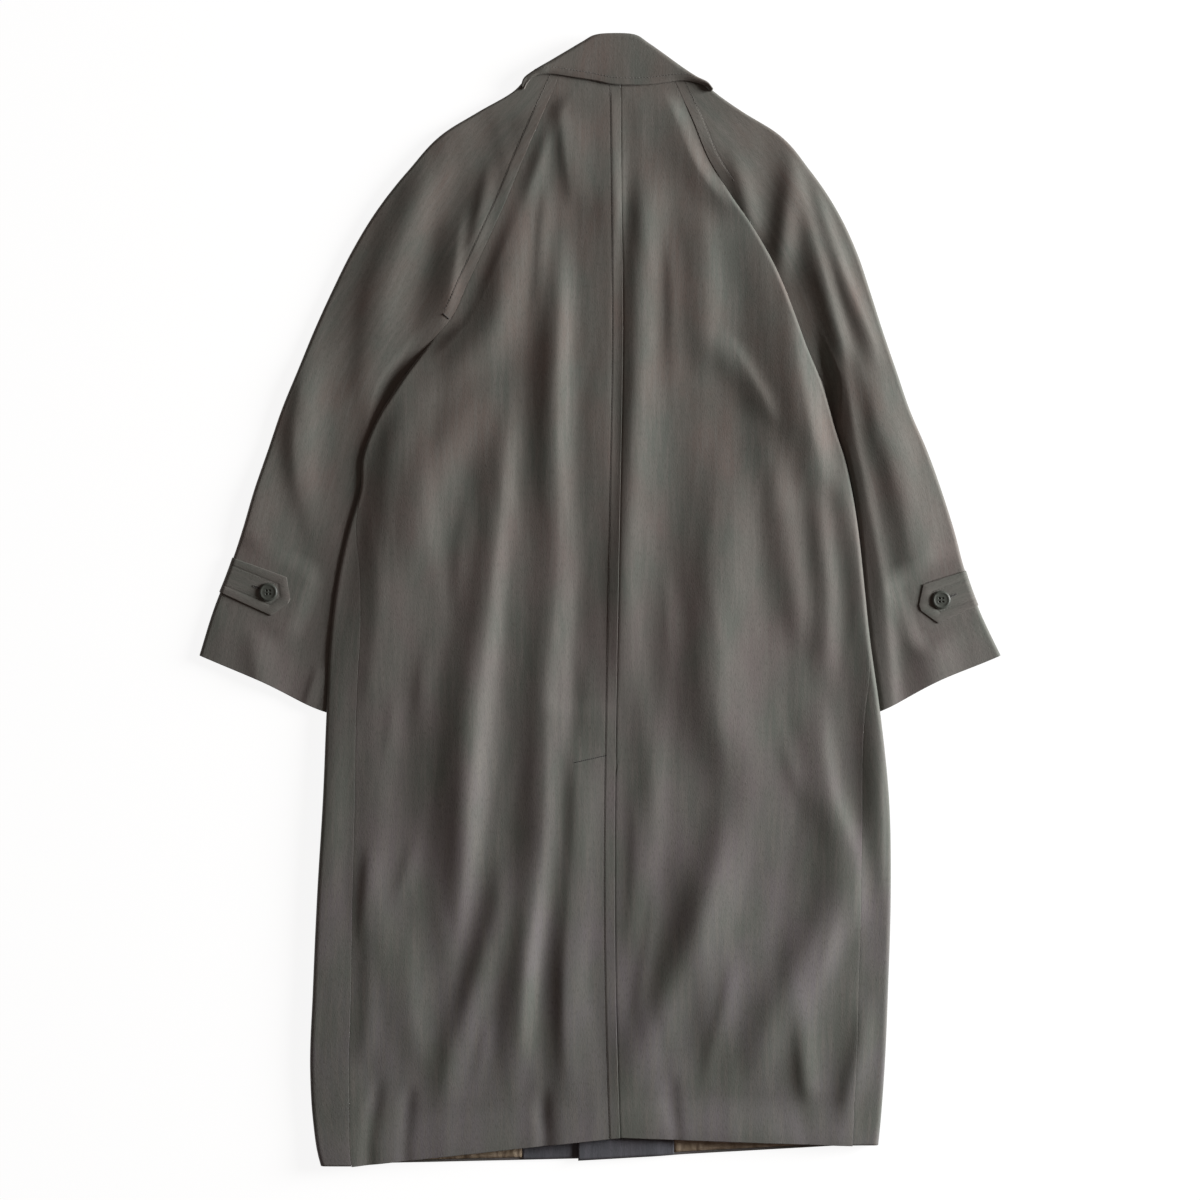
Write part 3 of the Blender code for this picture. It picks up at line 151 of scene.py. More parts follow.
# Folds of the back: name, crest as rows of height y, crest x and fold height, then left width and right width
BACK_FOLDS = (
    ("left raglan", ((550, -60, 0), (480, -80, 2.5), (430, -90, 4.5), (350, -104, 8), (300, -118, 8),
        (255, -150, 4.5), (222, -190, 0)), 27, 26),
    ("left raglan top", ((556, -46, 0.5), (520, -60, 2), (470, -72, 2.5), (420, -84, 0)), 12, 11),
    ("left inner", ((415, -46, 0), (330, -47, 6.5), (160, -50, 7.5), (50, -48, 4), (-90, -60, 5.5),
        (-270, -66, 8), (-430, -86, 8), (-580, -98, 0)), 23, 14),
    ("left valley", ((80, -20, 0), (-20, -26, -2.5), (-120, -29, -3), (-195, -31, 0)), 9, 15),
    ("left edge fall", ((250, -216, 0), (180, -255, -4), (77, -278, -4.5), (-44, -298, -4.5),
        (-128, -302, -3), (-250, -306, 0)), 30, 22),
    ("left of neck", ((548, -42, 1), (520, -40, 3.5), (485, -36, 4), (455, -31, 3), (420, -28, 0)), 10, 22),
    ("left long", ((245, -95, 0), (150, -107, 5), (60, -116, 7.5), (-20, -124, 7.5), (-110, -135, 7),
        (-200, -143, 7.5), (-280, -150, 7), (-360, -160, 4), (-440, -170, 0)), 26, 14),
    ("left hip swell", ((10, -140, 0), (-100, -152, 5), (-200, -157, 6), (-320, -165, 0)), 46, 26),
    ("left side", ((245, -200, 0), (180, -222, 3.5), (100, -230, 5), (20, -236, 4.5), (-60, -242, 3),
        (-150, -248, 0)), 24, 56),
    ("left blade", ((260, -118, 0), (200, -150, 3), (130, -190, 4), (70, -200, 3),
        (10, -205, 0)), 24, 24),
    ("left seam", ((-40, -250, 0), (-110, -248, 1), (-180, -250, 1.5), (-260, -252, 1.5),
        (-330, -252, 2.5), (-430, -251, 3), (-490, -255, 2), (-520, -260, 0)), 14, 26),
    ("left front edge", ((20, -284, 0), (-60, -289, 1.2), (-180, -292, 1.6), (-280, -295, 1),
        (-400, -300, 0)), 10, 16),
    ("left knee", ((-255, -102, 0), (-340, -113, 5), (-400, -129, 6), (-460, -148, 5.5), (-520, -165, 3),
        (-580, -175, 0)), 17, 20),
    ("left of vent", ((-150, -21, 0), (-220, -25, 3), (-330, -32, 2.5), (-430, -38, 4.5),
        (-500, -37, 2.5), (-570, -30, 0)), 11, 20),
    ("left calf", ((-330, -215, 0), (-400, -212, 2.5), (-470, -208, 3), (-530, -200, 0)), 20, 16),
    ("left hem outer dip", ((-515, -241, 0), (-555, -248, -3), (-600, -255, -1.5)), 7, 8),
    ("left hem dip", ((-525, -208, 0), (-560, -212, -3), (-597, -215, -1.5)), 8, 7),
    ("left hem inner dip", ((-530, -61, 0), (-560, -63, -3), (-592, -61, -1.5)), 8, 7),
    ("centre strip", ((560, 12, 1.5), (500, 14, 2.5), (440, 16, 5), (390, 14, 3), (330, 10, 2),
        (165, 6, 2), (0, 2, 0)), 28, 10),
    ("right inner", ((490, 52, 0), (420, 47, 6), (340, 43, 7), (250, 40, 7), (150, 35, 6), (50, 28, 5.5),
        (-50, 26, 3.5), (-135, 24, 0)), 18, 20),
    ("right raglan", ((562, 72, 1.5), (520, 92, 3), (483, 110, 4.5), (445, 138, 4),
        (405, 168, 0)), 28, 18),
    ("right blade", ((450, 103, 0), (400, 111, 4), (330, 112, 5.5), (280, 118, 4),
        (230, 150, 0)), 30, 24),
    ("right blade crease", ((305, 128, 0), (260, 155, 3), (220, 178, 3), (185, 192, 0)), 20, 9),
    ("right armhole", ((445, 150, 3), (370, 188, 6), (330, 203, 7), (290, 211, 9.5), (240, 218, 11.5),
        (190, 228, 11.5), (150, 238, 7), (105, 246, 0)), 44, 18),
    ("right upper side", ((210, 178, 0), (140, 190, 4), (90, 200, 5), (40, 207, 5), (-10, 215, 4),
        (-65, 222, 0)), 20, 18),
    ("right narrow", ((155, 238, 1), (80, 242, 5), (10, 248, 5), (-40, 248, 4), (-115, 242, 0)), 16, 12),
    ("right edge", ((155, 262, 0), (100, 273, 4), (40, 284, 4.5), (-20, 292, 4.5), (-90, 301, 5),
        (-200, 308, 6), (-280, 309, 4), (-350, 308, 0)), 18, 8),
    ("right broad", ((200, 143, 0), (120, 137, 4), (30, 128, 8), (-60, 123, 10), (-130, 129, 9),
        (-190, 150, 5.5), (-250, 158, 3.5), (-320, 165, 0)), 34, 36),
    ("right of vent", ((-75, 52, 0), (-150, 54, 2.5), (-220, 54, 3.5), (-290, 48, 3), (-360, 40, 2),
        (-435, 28, 0)), 17, 17),
    ("right knee", ((-208, 140, 0), (-280, 130, 5), (-340, 113, 6.5), (-395, 90, 7), (-450, 68, 6),
        (-505, 44, 3), (-560, 26, 0)), 24, 26),
    ("right thigh swell", ((-240, 100, 0), (-320, 110, 4), (-400, 120, 5), (-470, 130, 3),
        (-540, 140, 0)), 34, 70),
    ("right side, lower", ((-180, 246, 0), (-270, 258, 4), (-335, 256, 6), (-390, 228, 7), (-440, 203, 7),
        (-490, 182, 4.5), (-550, 166, 0)), 26, 26),
    ("right hip", ((-85, 244, 0), (-160, 244, 4), (-220, 254, 4.5), (-275, 275, 4), (-330, 278, 3),
        (-385, 270, 0)), 22, 12),
    ("right hem", ((-415, 222, 0), (-480, 222, 3.5), (-530, 225, 3.5), (-568, 229, 0)), 12, 14),
    ("right side seam", ((-425, 290, 0), (-480, 287, 3), (-530, 277, 3.5), (-585, 264, 1)), 12, 13),
    ("right hem dip", ((-515, 79, 0), (-550, 79, -3), (-588, 83, -1.5)), 9, 8),
)
# Small creases of the back, in the same columns
BACK_CREASES = (
    ("left seam streak", ((-262, -252, 0), (-300, -256, 1.6), (-345, -260, 1.3), (-390, -263, 0)), 6, 12),
    ("left thigh wedge", ((-40, -193, 0), (-95, -197, 1.2), (-165, -203, 0)), 8, 11),
    ("left thigh streak", ((-85, -221, 0), (-140, -229, 1.3), (-205, -238, 0)), 8, 11),
    ("left shin streak", ((-250, -200, 0), (-300, -214, 1.5), (-350, -228, 0)), 8, 11),
    ("left shin streak, lower", ((-430, -118, 0), (-490, -128, 1.2), (-555, -141, 0)), 7, 9),
    ("left waist streak", ((140, -140, 0), (60, -152, 1.4), (-30, -160, 0)), 9, 12),
    ("left shoulder streak", ((470, -58, 0), (420, -62, 1.5), (350, -68, 1.2), (280, -75, 0)), 7, 9),
    ("right vent streak", ((-180, 34, 0), (-250, 38, 0.8), (-330, 36, 0.9), (-410, 29, 0)), 7, 10),
    ("right shin streak", ((-290, 63, 0), (-350, 58, 1.2), (-420, 46, 1.0), (-490, 35, 0)), 7, 10),
    ("right shin streak, outer", ((-380, 150, 0), (-430, 140, 1.2), (-500, 122, 1.0),
        (-560, 110, 0)), 8, 11),
    ("right hip streak", ((-130, 203, 0), (-185, 212, 1.8), (-240, 228, 0)), 10, 13),
    ("right waist streak", ((60, 70, 0), (-20, 74, 1.3), (-110, 78, 0)), 8, 11),
    ("right blade streak", ((420, 76, 0), (350, 78, 1.6), (270, 80, 1.2), (190, 84, 0)), 8, 11),
    ("right side streak", ((-330, 262, 0), (-385, 250, 1.4), (-440, 236, 0)), 8, 10),
)
# Folds of the sleeves, in the same columns
SLEEVE_FOLDS = (
    ("left outer", ((512, -165, 2), (445, -200, 7), (390, -222, 7), (335, -240, 6.5), (290, -248, 5),
        (240, -262, 4), (180, -294, 0)), 24, 24),
    ("left seam rise", ((565, -50, 2), (530, -65, 5), (484, -85, 6), (442, -102, 7), (396, -123, 7),
        (349, -145, 6), (308, -165, 4), (265, -200, 0)), 42, 30),
    ("left cap", ((495, -118, 0), (450, -127, 2), (405, -137, 2), (352, -152, 0)), 8, 10),
    ("left cap, lower", ((442, -150, 0), (400, -157, 3), (360, -162, 4), (320, -170, 3),
        (280, -188, 0)), 20, 9),
    ("left elbow", ((290, -306, 0), (220, -330, 4), (165, -334, 5), (110, -327, 4),
        (40, -312, 0)), 13, 22),
    ("left forearm", ((190, -372, 0), (110, -384, 3), (60, -392, 2), (20, -398, 0)), 10, 26),
    ("left cuff", ((-20, -376, 0), (-60, -378, 2.5), (-110, -372, 2.5)), 12, 22),
    ("left sleeve hollow", ((330, -235, 0), (260, -270, -3.5), (160, -298, -4.5), (60, -322, -4),
        (-40, -340, -3.5), (-110, -348, -2)), 30, 42),
    ("left cuff crease", ((-60, -308, 0), (-85, -314, 1.5), (-110, -322, 1.5), (-124, -326, 1)), 5, 12),
    ("right seam rise", ((565, 85, 1), (530, 101, 3), (484, 120, 4.5), (442, 146, 4), (396, 177, 1.5),
        (360, 196, 0)), 30, 24),
    ("right shoulder swell", ((545, 118, 0), (490, 165, 4), (430, 205, 5), (370, 232, 5),
        (320, 255, 0)), 30, 50),
    ("right sleeve swell", ((420, 215, 0), (330, 250, 5), (250, 275, 7), (150, 300, 7), (50, 320, 5),
        (-60, 340, 0)), 26, 62),
    ("right cap", ((508, 140, 0), (460, 155, 4), (420, 164, 4), (382, 171, 0)), 12, 13),
    ("right cap, middle", ((508, 211, 1), (450, 208, 4.5), (410, 202, 5.5), (370, 197, 4.5),
        (332, 200, 0)), 13, 14),
    ("right long, upper", ((500, 207, 1), (430, 224, 4), (380, 238, 5), (330, 252, 5.5), (285, 264, 4.5),
        (252, 272, 0)), 13, 9),
    ("right outer", ((472, 230, 1.5), (415, 247, 4.5), (370, 262, 5), (325, 280, 5), (285, 296, 4),
        (242, 306, 0)), 12, 9),
    ("right long, lower", ((295, 262, 0), (240, 268, 2.5), (190, 276, 3.5), (130, 288, 3.5), (70, 300, 3.5),
        (10, 310, 3.5), (-50, 316, 3.5), (-122, 321, 3)), 17, 9),
    ("right forearm", ((280, 290, 1), (230, 300, 6), (190, 309, 7), (150, 322, 6.5), (100, 336, 5.5),
        (50, 346, 5), (0, 352, 4.5), (-50, 358, 4.5), (-105, 366, 3.5)), 20, 28),
)
# Rise of the back towards its hem, and the soft dip above the hem's stitches: x, rise, dip
HEM_RISE = (
    (-306, 3.0, 0.2), (-100, 3.0, 0.4), (22, 1.5, 0.2), (100, 5.0, 0.5), (220, 6.0, 0.5), (304, 2.0, 0.2),
)
HEM_CORNERS = ((-306.0, SIDE_HEM_Y[LEFT]), (22.0, CENTRE_HEM_Y), (304.0, SIDE_HEM_Y[RIGHT]))
HEM_BAND, HEM_LEAD, HEM_DIP_REACH = 46.0, 160.0, 9.0
# Slack of the cloth between its folds: waves per metre across and along, height
SLACK_WAVES = ((19.0, 0.6, 0.16), (-31.0, 0.9, 0.09), (44.0, -0.7, 0.05), (9.0, 1.8, 0.30))
# Sideways wander of those waves, in the same columns
SLACK_WANDER = ((1.0, 2.1, 9.0), (-2.3, 4.7, 3.5), (4.1, 8.0, 1.5))
# Each wave in these tables starts this much, in radians, after the one before it
WAVE_SHIFT = 1.7
# Lift of the cloth off the floor on the hidden side, in the same columns
UNDER_WAVES = ((3.1, 0.7, 0.55), (-5.3, 1.6, 0.35), (8.7, -2.4, 0.20))

# Collar from its left tip to its right tip: x and y of the roll, x and y of the fall's edge
COLLAR = (
    (-87, 566, -84, 561.5), (-83.5, 574.5, -79.5, 569.5), (-73.5, 582, -70.5, 576.5),
    (-58, 591, -57, 578.5), (-41, 601, -44, 577), (-19, 614, -22, 573.5), (-6, 621, -6, 571),
    (13, 623, 13, 567), (38, 621.5, 35, 566), (53, 612.5, 53, 566.5), (70, 600.5, 70, 568.5),
    (90, 586, 88, 571), (106, 575.5, 102, 569.5), (118, 569.5, 115.5, 565), (124.5, 562, 122, 558.5),
)
COLLAR_TIP_X, COLLAR_TIP_RUN = -88.0, 28.0
COLLAR_TIP_ROLL, COLLAR_TIP_EDGE = 12.2, 13.2
COLLAR_ROLL_TOP = 17.0
COLLAR_EDGE_TOP = 12.9
COLLAR_UNDER = 10.6
COLLAR_FALL_POWER = 3
COLLAR_ROLL_REACH = 5.0
COLLAR_ROLL_SHARE = 0.3
COLLAR_STAND_SHARE = 0.6
COLLAR_STAND_LEAST = 2.0
COLLAR_STITCH_IN = 7.7
# Collar ends on the floor side: x and y of the roll, x and y of the edge, at the neck's side and the front
COLLAR_POINT = {
    LEFT: ((-80, 566, -82, 556), (10, 562, -18, 488)),
    RIGHT: ((116, 562, 118, 552), (18, 562, 46, 488)),
}

# Cuff tabs: height at which the tab's middle crosses the sleeve's edge, direction in, length to the tip
TAB_ROOT_Y = {LEFT: 27.5, RIGHT: 13.0}
TAB_ALONG = {LEFT: (0.925, -0.380), RIGHT: (-0.933, -0.360)}
TAB_LENGTH = {LEFT: 75.0, RIGHT: 61.0}
TAB_WIDTH, TAB_ROOT_WIDTH = 46.0, 41.0
TAB_POINT = 13.0
TAB_TIP_WIDTH = 5.0
TAB_GAP = 0.12
TAB_FROM_ANGLE = -34.0
TAB_EDGE_RUN = 20.0
TAB_FLAT_BESIDE = 7.0
TAB_FLAT_BLEND = 24.0
TAB_STITCH_IN = 11.0
TAB_STITCH_SHOULDER, TAB_STITCH_TIP = 0.4, 0.12
TAB_PUFF = 0.45
BUTTON_FROM_TIP = 25.2
BUTTON_HOLE_RADIUS = 1.05
BUTTON_HOLE_SPREAD = 2.6
BUTTON_HOLE_DEPTH = 1.3
BUTTON_HOLE_SOFT = 0.35
# Half the button's section, from the middle of its top over the rim to its back: radius, height
BUTTON_SECTION = (
    (0.0, 1.8), (3.0, 1.8), (6.0, 1.85), (7.0, 2.0), (7.7, 2.25), (8.4, 2.3), (9.1, 2.1), (9.7, 1.75),
    (10.1, 1.3), (10.2, 0.9), (10.0, 0.4), (9.2, 0.1), (8.0, 0.0), (0.0, 0.0),
)
BUTTON_ROUND, BUTTON_RINGS = 96, 72
BUTTONHOLE_FROM, BUTTONHOLE_TO = 6.0, 19.0
BUTTONHOLE_HALF_WIDTH = 1.3

# Inside of the fronts, which shows below the back's hem
FACING_EDGE_X = {LEFT: -85.6, RIGHT: 81.6}
LINING_EDGE_SHARE = 0.975
INSIDE_HEIGHT = 188.0
FACING_ABOVE_HEM = 1.5
LINING_ABOVE_HEM = 4.0

# Rows and columns of the grids
RAGLAN_ROWS, SIDE_ROWS = 84, 212
CUFF_ROWS = 96
HEM_STEPS = (3.0, 1.6, 0.7, 0.0)
EDGE_STEPS = (0.0, 0.4, 1.0, 1.8, 2.8, 4.0, 5.5, 7.5, 10.0, 13.0)
STRIP_STEPS = (16.0, 14.0, 12.8, 12.1, 11.6, 11.2, 10.8, 10.4, 9.9, 9.2, 8.0, 6.0, 4.0, 2.2, 1.0, 0.4, 0.0)
PLAIN_STEPS = (15.0, 12.0, 10.0, 8.2, 7.0, 6.2, 5.5, 4.9, 4.4, 4.0, 3.2, 2.4, 1.7, 1.0, 0.4, 0.0)
BACK_COLUMNS = 84
SLEEVE_COLUMNS = 62
FRONT_COLUMNS = 44
ROLL_COLUMNS = 14
SIDE_COLUMNS = 34
UNDER_ROW_STEP = 2
SLEEVE_EDGE_STEPS = 400
COLLAR_STATIONS = 150
COLLAR_FALL_COLUMNS, COLLAR_ROLL_COLUMNS, COLLAR_STAND_COLUMNS = 34, 12, 8
TAB_COLUMNS, TAB_ROLL_COLUMNS, TAB_ROWS = 70, 16, 53
INSIDE_ROWS, INSIDE_COLUMNS = 64, 60

# Wool gabardine: size across and along the cloth in metres, and the noise's detail, of its mottling, dye
# streaks, slubs and nap; the noise values between which a colour fades into the next
MOTTLE = (0.060, 0.110, 5.0)
STREAK = (0.0042, 0.050, 3.0)
SLUB = (0.0013, 0.006, 2.0)
NAP = (0.0012, 0.0028, 3.0)
MOTTLE_FADE, STREAK_FADE, SLUB_FADE = (0.38, 0.62), (0.42, 0.85), (0.50, 0.95)
WARM_Y, COOL_Y = 0.20, -0.45
NAP_DEPTH, NAP_STRENGTH = 0.0004, 0.45
# The twill is drawn several times as coarse as real thread, which is too fine to show
TWILL_PITCH = 0.0044
TWILL_LEAN = 27.0
TWILL_WANDER = 1.5
TWILL_SHARE = 0.05
# Radians by which the wave texture turns over one unit at a scale of one
WAVE_TEXTURE_TURN = 20.0
# Satin lining, in metres: uneven tone and small creases, in the same columns
SATIN_TONE, SATIN_CREASE = (0.012, 0.020, 3.0), (0.009, 0.014, 1.0)
SATIN_FADE = (0.35, 0.65)
SATIN_DEPTH, SATIN_STRENGTH = 0.003, 0.9
# Button resin and sewing thread, in metres: clouds, matt grain, ply
RESIN_CLOUD, RESIN_GRAIN = 0.00385, 0.0004
RESIN_FADE = (0.4, 0.7)
RESIN_DEPTH, RESIN_STRENGTH = 0.0001, 0.2
THREAD_PLY = 0.0011
THREAD_FADE = (0.35, 0.65)
CLOUD_DETAIL, GRAIN_DETAIL = 3.0, 2.0

# Stitches: distance from one to the next, length and width of one, points round and along it
STITCH_PITCH, STITCH_LENGTH, STITCH_WIDTH = 3.4, 2.7, 0.75
STITCH_ROUND, STITCH_ALONG = 6, 5
STAY_PITCH, STAY_WIDTH = 2.3, 1.2
CORD_PITCH, CORD_LENGTH, CORD_WIDTH = 1.0, 1.6, 1.1
# The buttonhole slit's painted shade: one near-black long ball of this length and width in each slit
SLIT_SHADE_LENGTH, SLIT_SHADE_WIDTH = 11.0, 1.2
LINE_POINTS = 400
MERGE_DISTANCE = 1e-6

VENT_STAY = ((-28.0, -178.5), (8.0, -170.5))
RAGLAN_BAR = ((-172.5, 314.5), (-165.5, 308.5))
COLLAR_STITCHES = slice(22, -22)
RAGLAN_STITCHES_TO = {LEFT: 312.0, RIGHT: 452.0}

# Camera and light
FRAME_WIDTH = 1320.0
SUBJECT_LEVEL = 10.0
LENS, SENSOR = 85.0, 36.0
CAMERA_CLIP = 100.0
KEY_FROM = (0.85, 0.16, 0.27)
KEY_DISTANCE = 4.3
KEY_SIZE = 2.1
KEY_POWER = 415.0
FILL_STRENGTH = 0.118
FILL_COLOUR = "#ffe2d6"
FLOOR_SIZE = 12000.0
FLOOR_CLEAR = 0.6
FLOOR_GLOW = 0.9
FLOOR_COLOUR, FLOOR_LIGHT = "#6c6c6c", "#ffffff"


def smoothstep(value):
    share = np.clip(value, 0.0, 1.0)
    return share * share * (3.0 - 2.0 * share)


def blend(first, second, share):
    return first + (second - first) * share


def curve(table, column, level_ends=False):
    """A smooth curve through a table's first column and another one, made of cubic pieces."""
    rows = sorted(table)
    at = np.array([row[0] for row in rows], float)
    values = np.array([row[column] for row in rows], float)
    slopes = np.gradient(values, at)
    if level_ends:
        slopes[[0, -1]] = 0.0

    def value(where):
        where = np.clip(where, at[0], at[-1])
        piece = np.clip(np.searchsorted(at, where) - 1, 0, len(at) - 2)
        width = at[piece + 1] - at[piece]
        t = (where - at[piece]) / width
        start = (1 + 2 * t) * (1 - t) ** 2 * values[piece] + t * (1 - t) ** 2 * width * slopes[piece]
        end = t * t * (3 - 2 * t) * values[piece + 1] + t * t * (t - 1) * width * slopes[piece + 1]
        return start + end

    return value


body_edge = {LEFT: curve(BODY_EDGE, 1), RIGHT: curve(BODY_EDGE, 2)}
sleeve_edge = {LEFT: curve(SLEEVE_EDGE, 1), RIGHT: curve(SLEEVE_EDGE, 2)}
side_shows = {LEFT: curve(SIDE_SHOWS, 1), RIGHT: curve(SIDE_SHOWS, 2)}
centre_edge = curve(CENTRE_EDGE, 1)


def fold_heights(folds, x, y):
    """Sum of the folds at points: each is a bell across its crest, with its own width on each side, and its
    crest and height are smooth curves down the cloth."""
    total = np.zeros(np.broadcast(x, y).shape)
    for _, crest, left, right in folds:
        crest_x = curve(crest, 1)
        lean = np.hypot(1.0, (crest_x(y + 1.0) - crest_x(y - 1.0)) / 2)
        away = (x - crest_x(y)) / lean
        width = np.where(away < 0, left, right)
        total = total + curve(crest, 2, True)(y) * np.exp(-((away / width) ** 2))
    return total


def waves(table, x, y):
    """Sum of slanting sine waves, each with its number of waves per metre across and along and its height."""
    total = np.zeros(np.broadcast(x, y).shape)
    for number, (across, along, height) in enumerate(table):
        total = total + height * np.sin(2 * np.pi * MM * (across * x + along * y) + WAVE_SHIFT * number)
    return total


def slack(x, y):
    """Small uneven waves of the cloth between its folds, which wander as they run down."""
    return waves(SLACK_WAVES, x + waves(SLACK_WANDER, x, y), y)


def settled(level, lowest):
    """A level that is softly kept above the lowest one."""
    return lowest + SETTLE_SOFTNESS * np.logaddexp(0.0, (level - lowest) / SETTLE_SOFTNESS)


def neck_rise(y):
    """How far the lower layers are lifted by the collar's ends under them."""
    return NECK_RISE * smoothstep((y - NECK_RISE_FROM_Y) / (NECK_RISE_TO_Y - NECK_RISE_FROM_Y))


def hem_form(x, y):
    """Height added at the back's hem: a rise over the hem's width, with a dip where its stitches are."""
    above = y - np.interp(x, *zip(*HEM_CORNERS))
    rise = curve(HEM_RISE, 1)(x) * (smoothstep(1 - above / HEM_BAND) - smoothstep(1 - above / HEM_LEAD) / 2)
    return rise - curve(HEM_RISE, 2)(x) * np.exp(-(((above - HEM_BAND) / HEM_DIP_REACH) ** 2))


def back_height(x, y):
    """Top of the back: its rest level plus folds and slack, kept above the lowest level, and flat under the
    collar."""
    raised = BACK_REST + fold_heights(BACK_FOLDS + BACK_CREASES, x, y) + slack(x, y) + hem_form(x, y)
    level = settled(raised, BACK_LOWEST + neck_rise(y))
    return blend(NECK_LEVEL, level, smoothstep((NECK_FLAT_Y - y) / NECK_BLEND))


def tab_place(side, inward):
    """The point on a cuff tab's middle line at a distance in from the sleeve's edge."""
    root = np.array((sleeve_edge[side](TAB_ROOT_Y[side]), TAB_ROOT_Y[side]))
    return root + inward * np.array(TAB_ALONG[side])


def tab_flatness(x, y):
    """One where a cuff tab lies on the sleeve, nothing away from it."""
    flat = np.zeros(np.broadcast(x, y).shape)
    for side in (LEFT, RIGHT):
        root, along = tab_place(side, 0.0), TAB_ALONG[side]
        reach = (x - root[0]) * along[0] + (y - root[1]) * along[1]
        sideways = np.abs((x - root[0]) * along[1] - (y - root[1]) * along[0])
        past = np.hypot(np.maximum(reach - TAB_LENGTH[side], 0.0), np.maximum(sideways - TAB_WIDTH / 2, 0.0))
        flat = np.maximum(flat, 1 - smoothstep((past - TAB_FLAT_BESIDE) / TAB_FLAT_BLEND))
    return flat


def sleeve_height(x, y):
    """Top of the sleeves, as of the back, but level where a cuff tab lies on them."""
    raised = SLEEVE_REST + fold_heights(SLEEVE_FOLDS, x, y) + slack(x, y)
    level = settled(raised, SLEEVE_LOWEST + neck_rise(y))
    level = blend(level, SLEEVE_REST, tab_flatness(x, y))
    return blend(NECK_LEVEL, level, smoothstep((SLEEVE_NECK_FLAT_Y - y) / NECK_BLEND))


def tucked(y):
    """One where the sleeve's inner edge lies under the body, nothing up the raglan seam."""
    return smoothstep((ARMPIT_Y + ARMPIT_RUN - y) / ARMPIT_RUN)


def front_under(side, x, y):
    """Underside of a front panel: on the floor, but over the sleeve, the collar's end and the other front."""
    inside = (x - body_edge[side](y)) * -side
    below_armpit = smoothstep((ARMPIT_Y + ON_SLEEVE_ABOVE - y) / ON_SLEEVE_ABOVE)
    above_cuff = smoothstep((y - CUFF_INNER_Y + ON_SLEEVE_BELOW) / ON_SLEEVE_BELOW_RAMP)
    beside = 1 - smoothstep((inside - ON_SLEEVE_WIDTH) / ON_SLEEVE_RAMP)
    level = neck_rise(y) + OVER_SLEEVE * below_armpit * above_cuff * beside
    if side == RIGHT:
        past_lap = smoothstep((x - FRONT_EDGE_X[LEFT] - FRONT_LAP_CLEAR) / FRONT_LAP_RAMP)
        level = level + LAP_RISE * (1 - past_lap)
    return level


def upper_height(side, x, y):
    """Top of the body near a side. On the raglan seam it comes down to the sleeve. Along a folded side it is
    a quarter of an ellipse up to the back, from the layer below or, under the armpit, the fold's middle."""
    edge = body_edge[side](y)
    inside = np.maximum((x - edge) * -side, 0.0)
    seam_level = blend(sleeve_height(edge, y), SLEEVE_TUCKED, tucked(y))
    sewn = blend(seam_level, back_height(x, y), smoothstep(inside / SEAM_BLEND[side]))
    high = back_height(edge - side * np.maximum(inside, FOLD_REACH), y)
    low = np.maximum(front_under(side, edge - side * FOLD_REACH, y), seam_level)
    middle = blend(low, (low + high) / 2, smoothstep((ARMPIT_Y - y) / FOLD_RUN))
    rounding = np.sqrt(1 - (1 - np.clip(inside / FOLD_REACH, 0.0, 1.0)) ** 2)
    folded = middle + (high - middle) * rounding
    return blend(sewn, folded, smoothstep((FOLD_FROM_Y[side] - y) / FOLD_RUN))


def points(x, y, z):
    return np.stack(np.broadcast_arrays(x, y, z), axis=-1)


def columns_across(width, first, count, last):
    """Distances across rows of the given widths: fixed ones first, then even ones, then fixed ones."""
    first, last = np.array(first), np.array(last)
    share = np.arange(1, count) / count
    even = first[-1] + (width - last[0] - first[-1]) * share
    start = np.broadcast_to(first, (len(width), len(first)))
    return np.concatenate((start, even, width - last), axis=1)


def body_levels(side):
    """Heights of a body panel's rows at its outer edge, down the raglan seam and the side to the hem."""
    raglan = np.linspace(NECK_Y, ARMPIT_Y, RAGLAN_ROWS + 1)
    below = np.linspace(ARMPIT_Y, SIDE_HEM_Y[side] + HEM_STEPS[0], SIDE_ROWS + 1)
    return np.concatenate((raglan, below[1:], SIDE_HEM_Y[side] + np.array(HEM_STEPS[1:])))[:, None]


def centre_levels(side, edge_y):
    """Heights of the same rows at the centre back."""
    drop = CENTRE_NECK_Y - NECK_Y
    below = (ARMPIT_Y - edge_y) / (ARMPIT_Y - SIDE_HEM_Y[side])
    return np.where(edge_y > ARMPIT_Y, edge_y + drop, blend(ARMPIT_Y + drop, CENTRE_HEM_Y, below))


def seam_inset(side, y):
    """Distance of the seam in from the body's edge: none up the raglan seam, the front's width below."""
    return np.where(y > ARMPIT_Y, 0.0, np.maximum(0.0, side_shows[side](y)))


def seam_sink(distance, depth=SEAM_SINK, reach=SEAM_SINK_REACH):
    """How far the cloth is pulled down beside a seam."""
    return depth * np.exp(-((distance / reach) ** 2))


def vent_lift(x, y):
    """How far the left back is lifted over the vent's underlap."""
    inside = centre_edge(y) - x
    below = smoothstep((VENT_TOP_Y + VENT_LIFT_ABOVE - y) / VENT_LIFT_RUN)
    return VENT_LIFT * below * (1 - smoothstep((inside - VENT_LIFT_WIDTH) / VENT_LIFT_RAMP))


def stitched_strip(distance):
    """Height of a stitched strip by the distance from its seam: raised up to the stitches, which are sunk."""
    raised = STRIP_RAISE * smoothstep((STRIP_WIDTH + STRIP_SOFT / 2 - distance) / STRIP_SOFT)
    return raised - STITCH_DEPTH * np.exp(-(((distance - STRIP_WIDTH) / STITCH_REACH) ** 2))


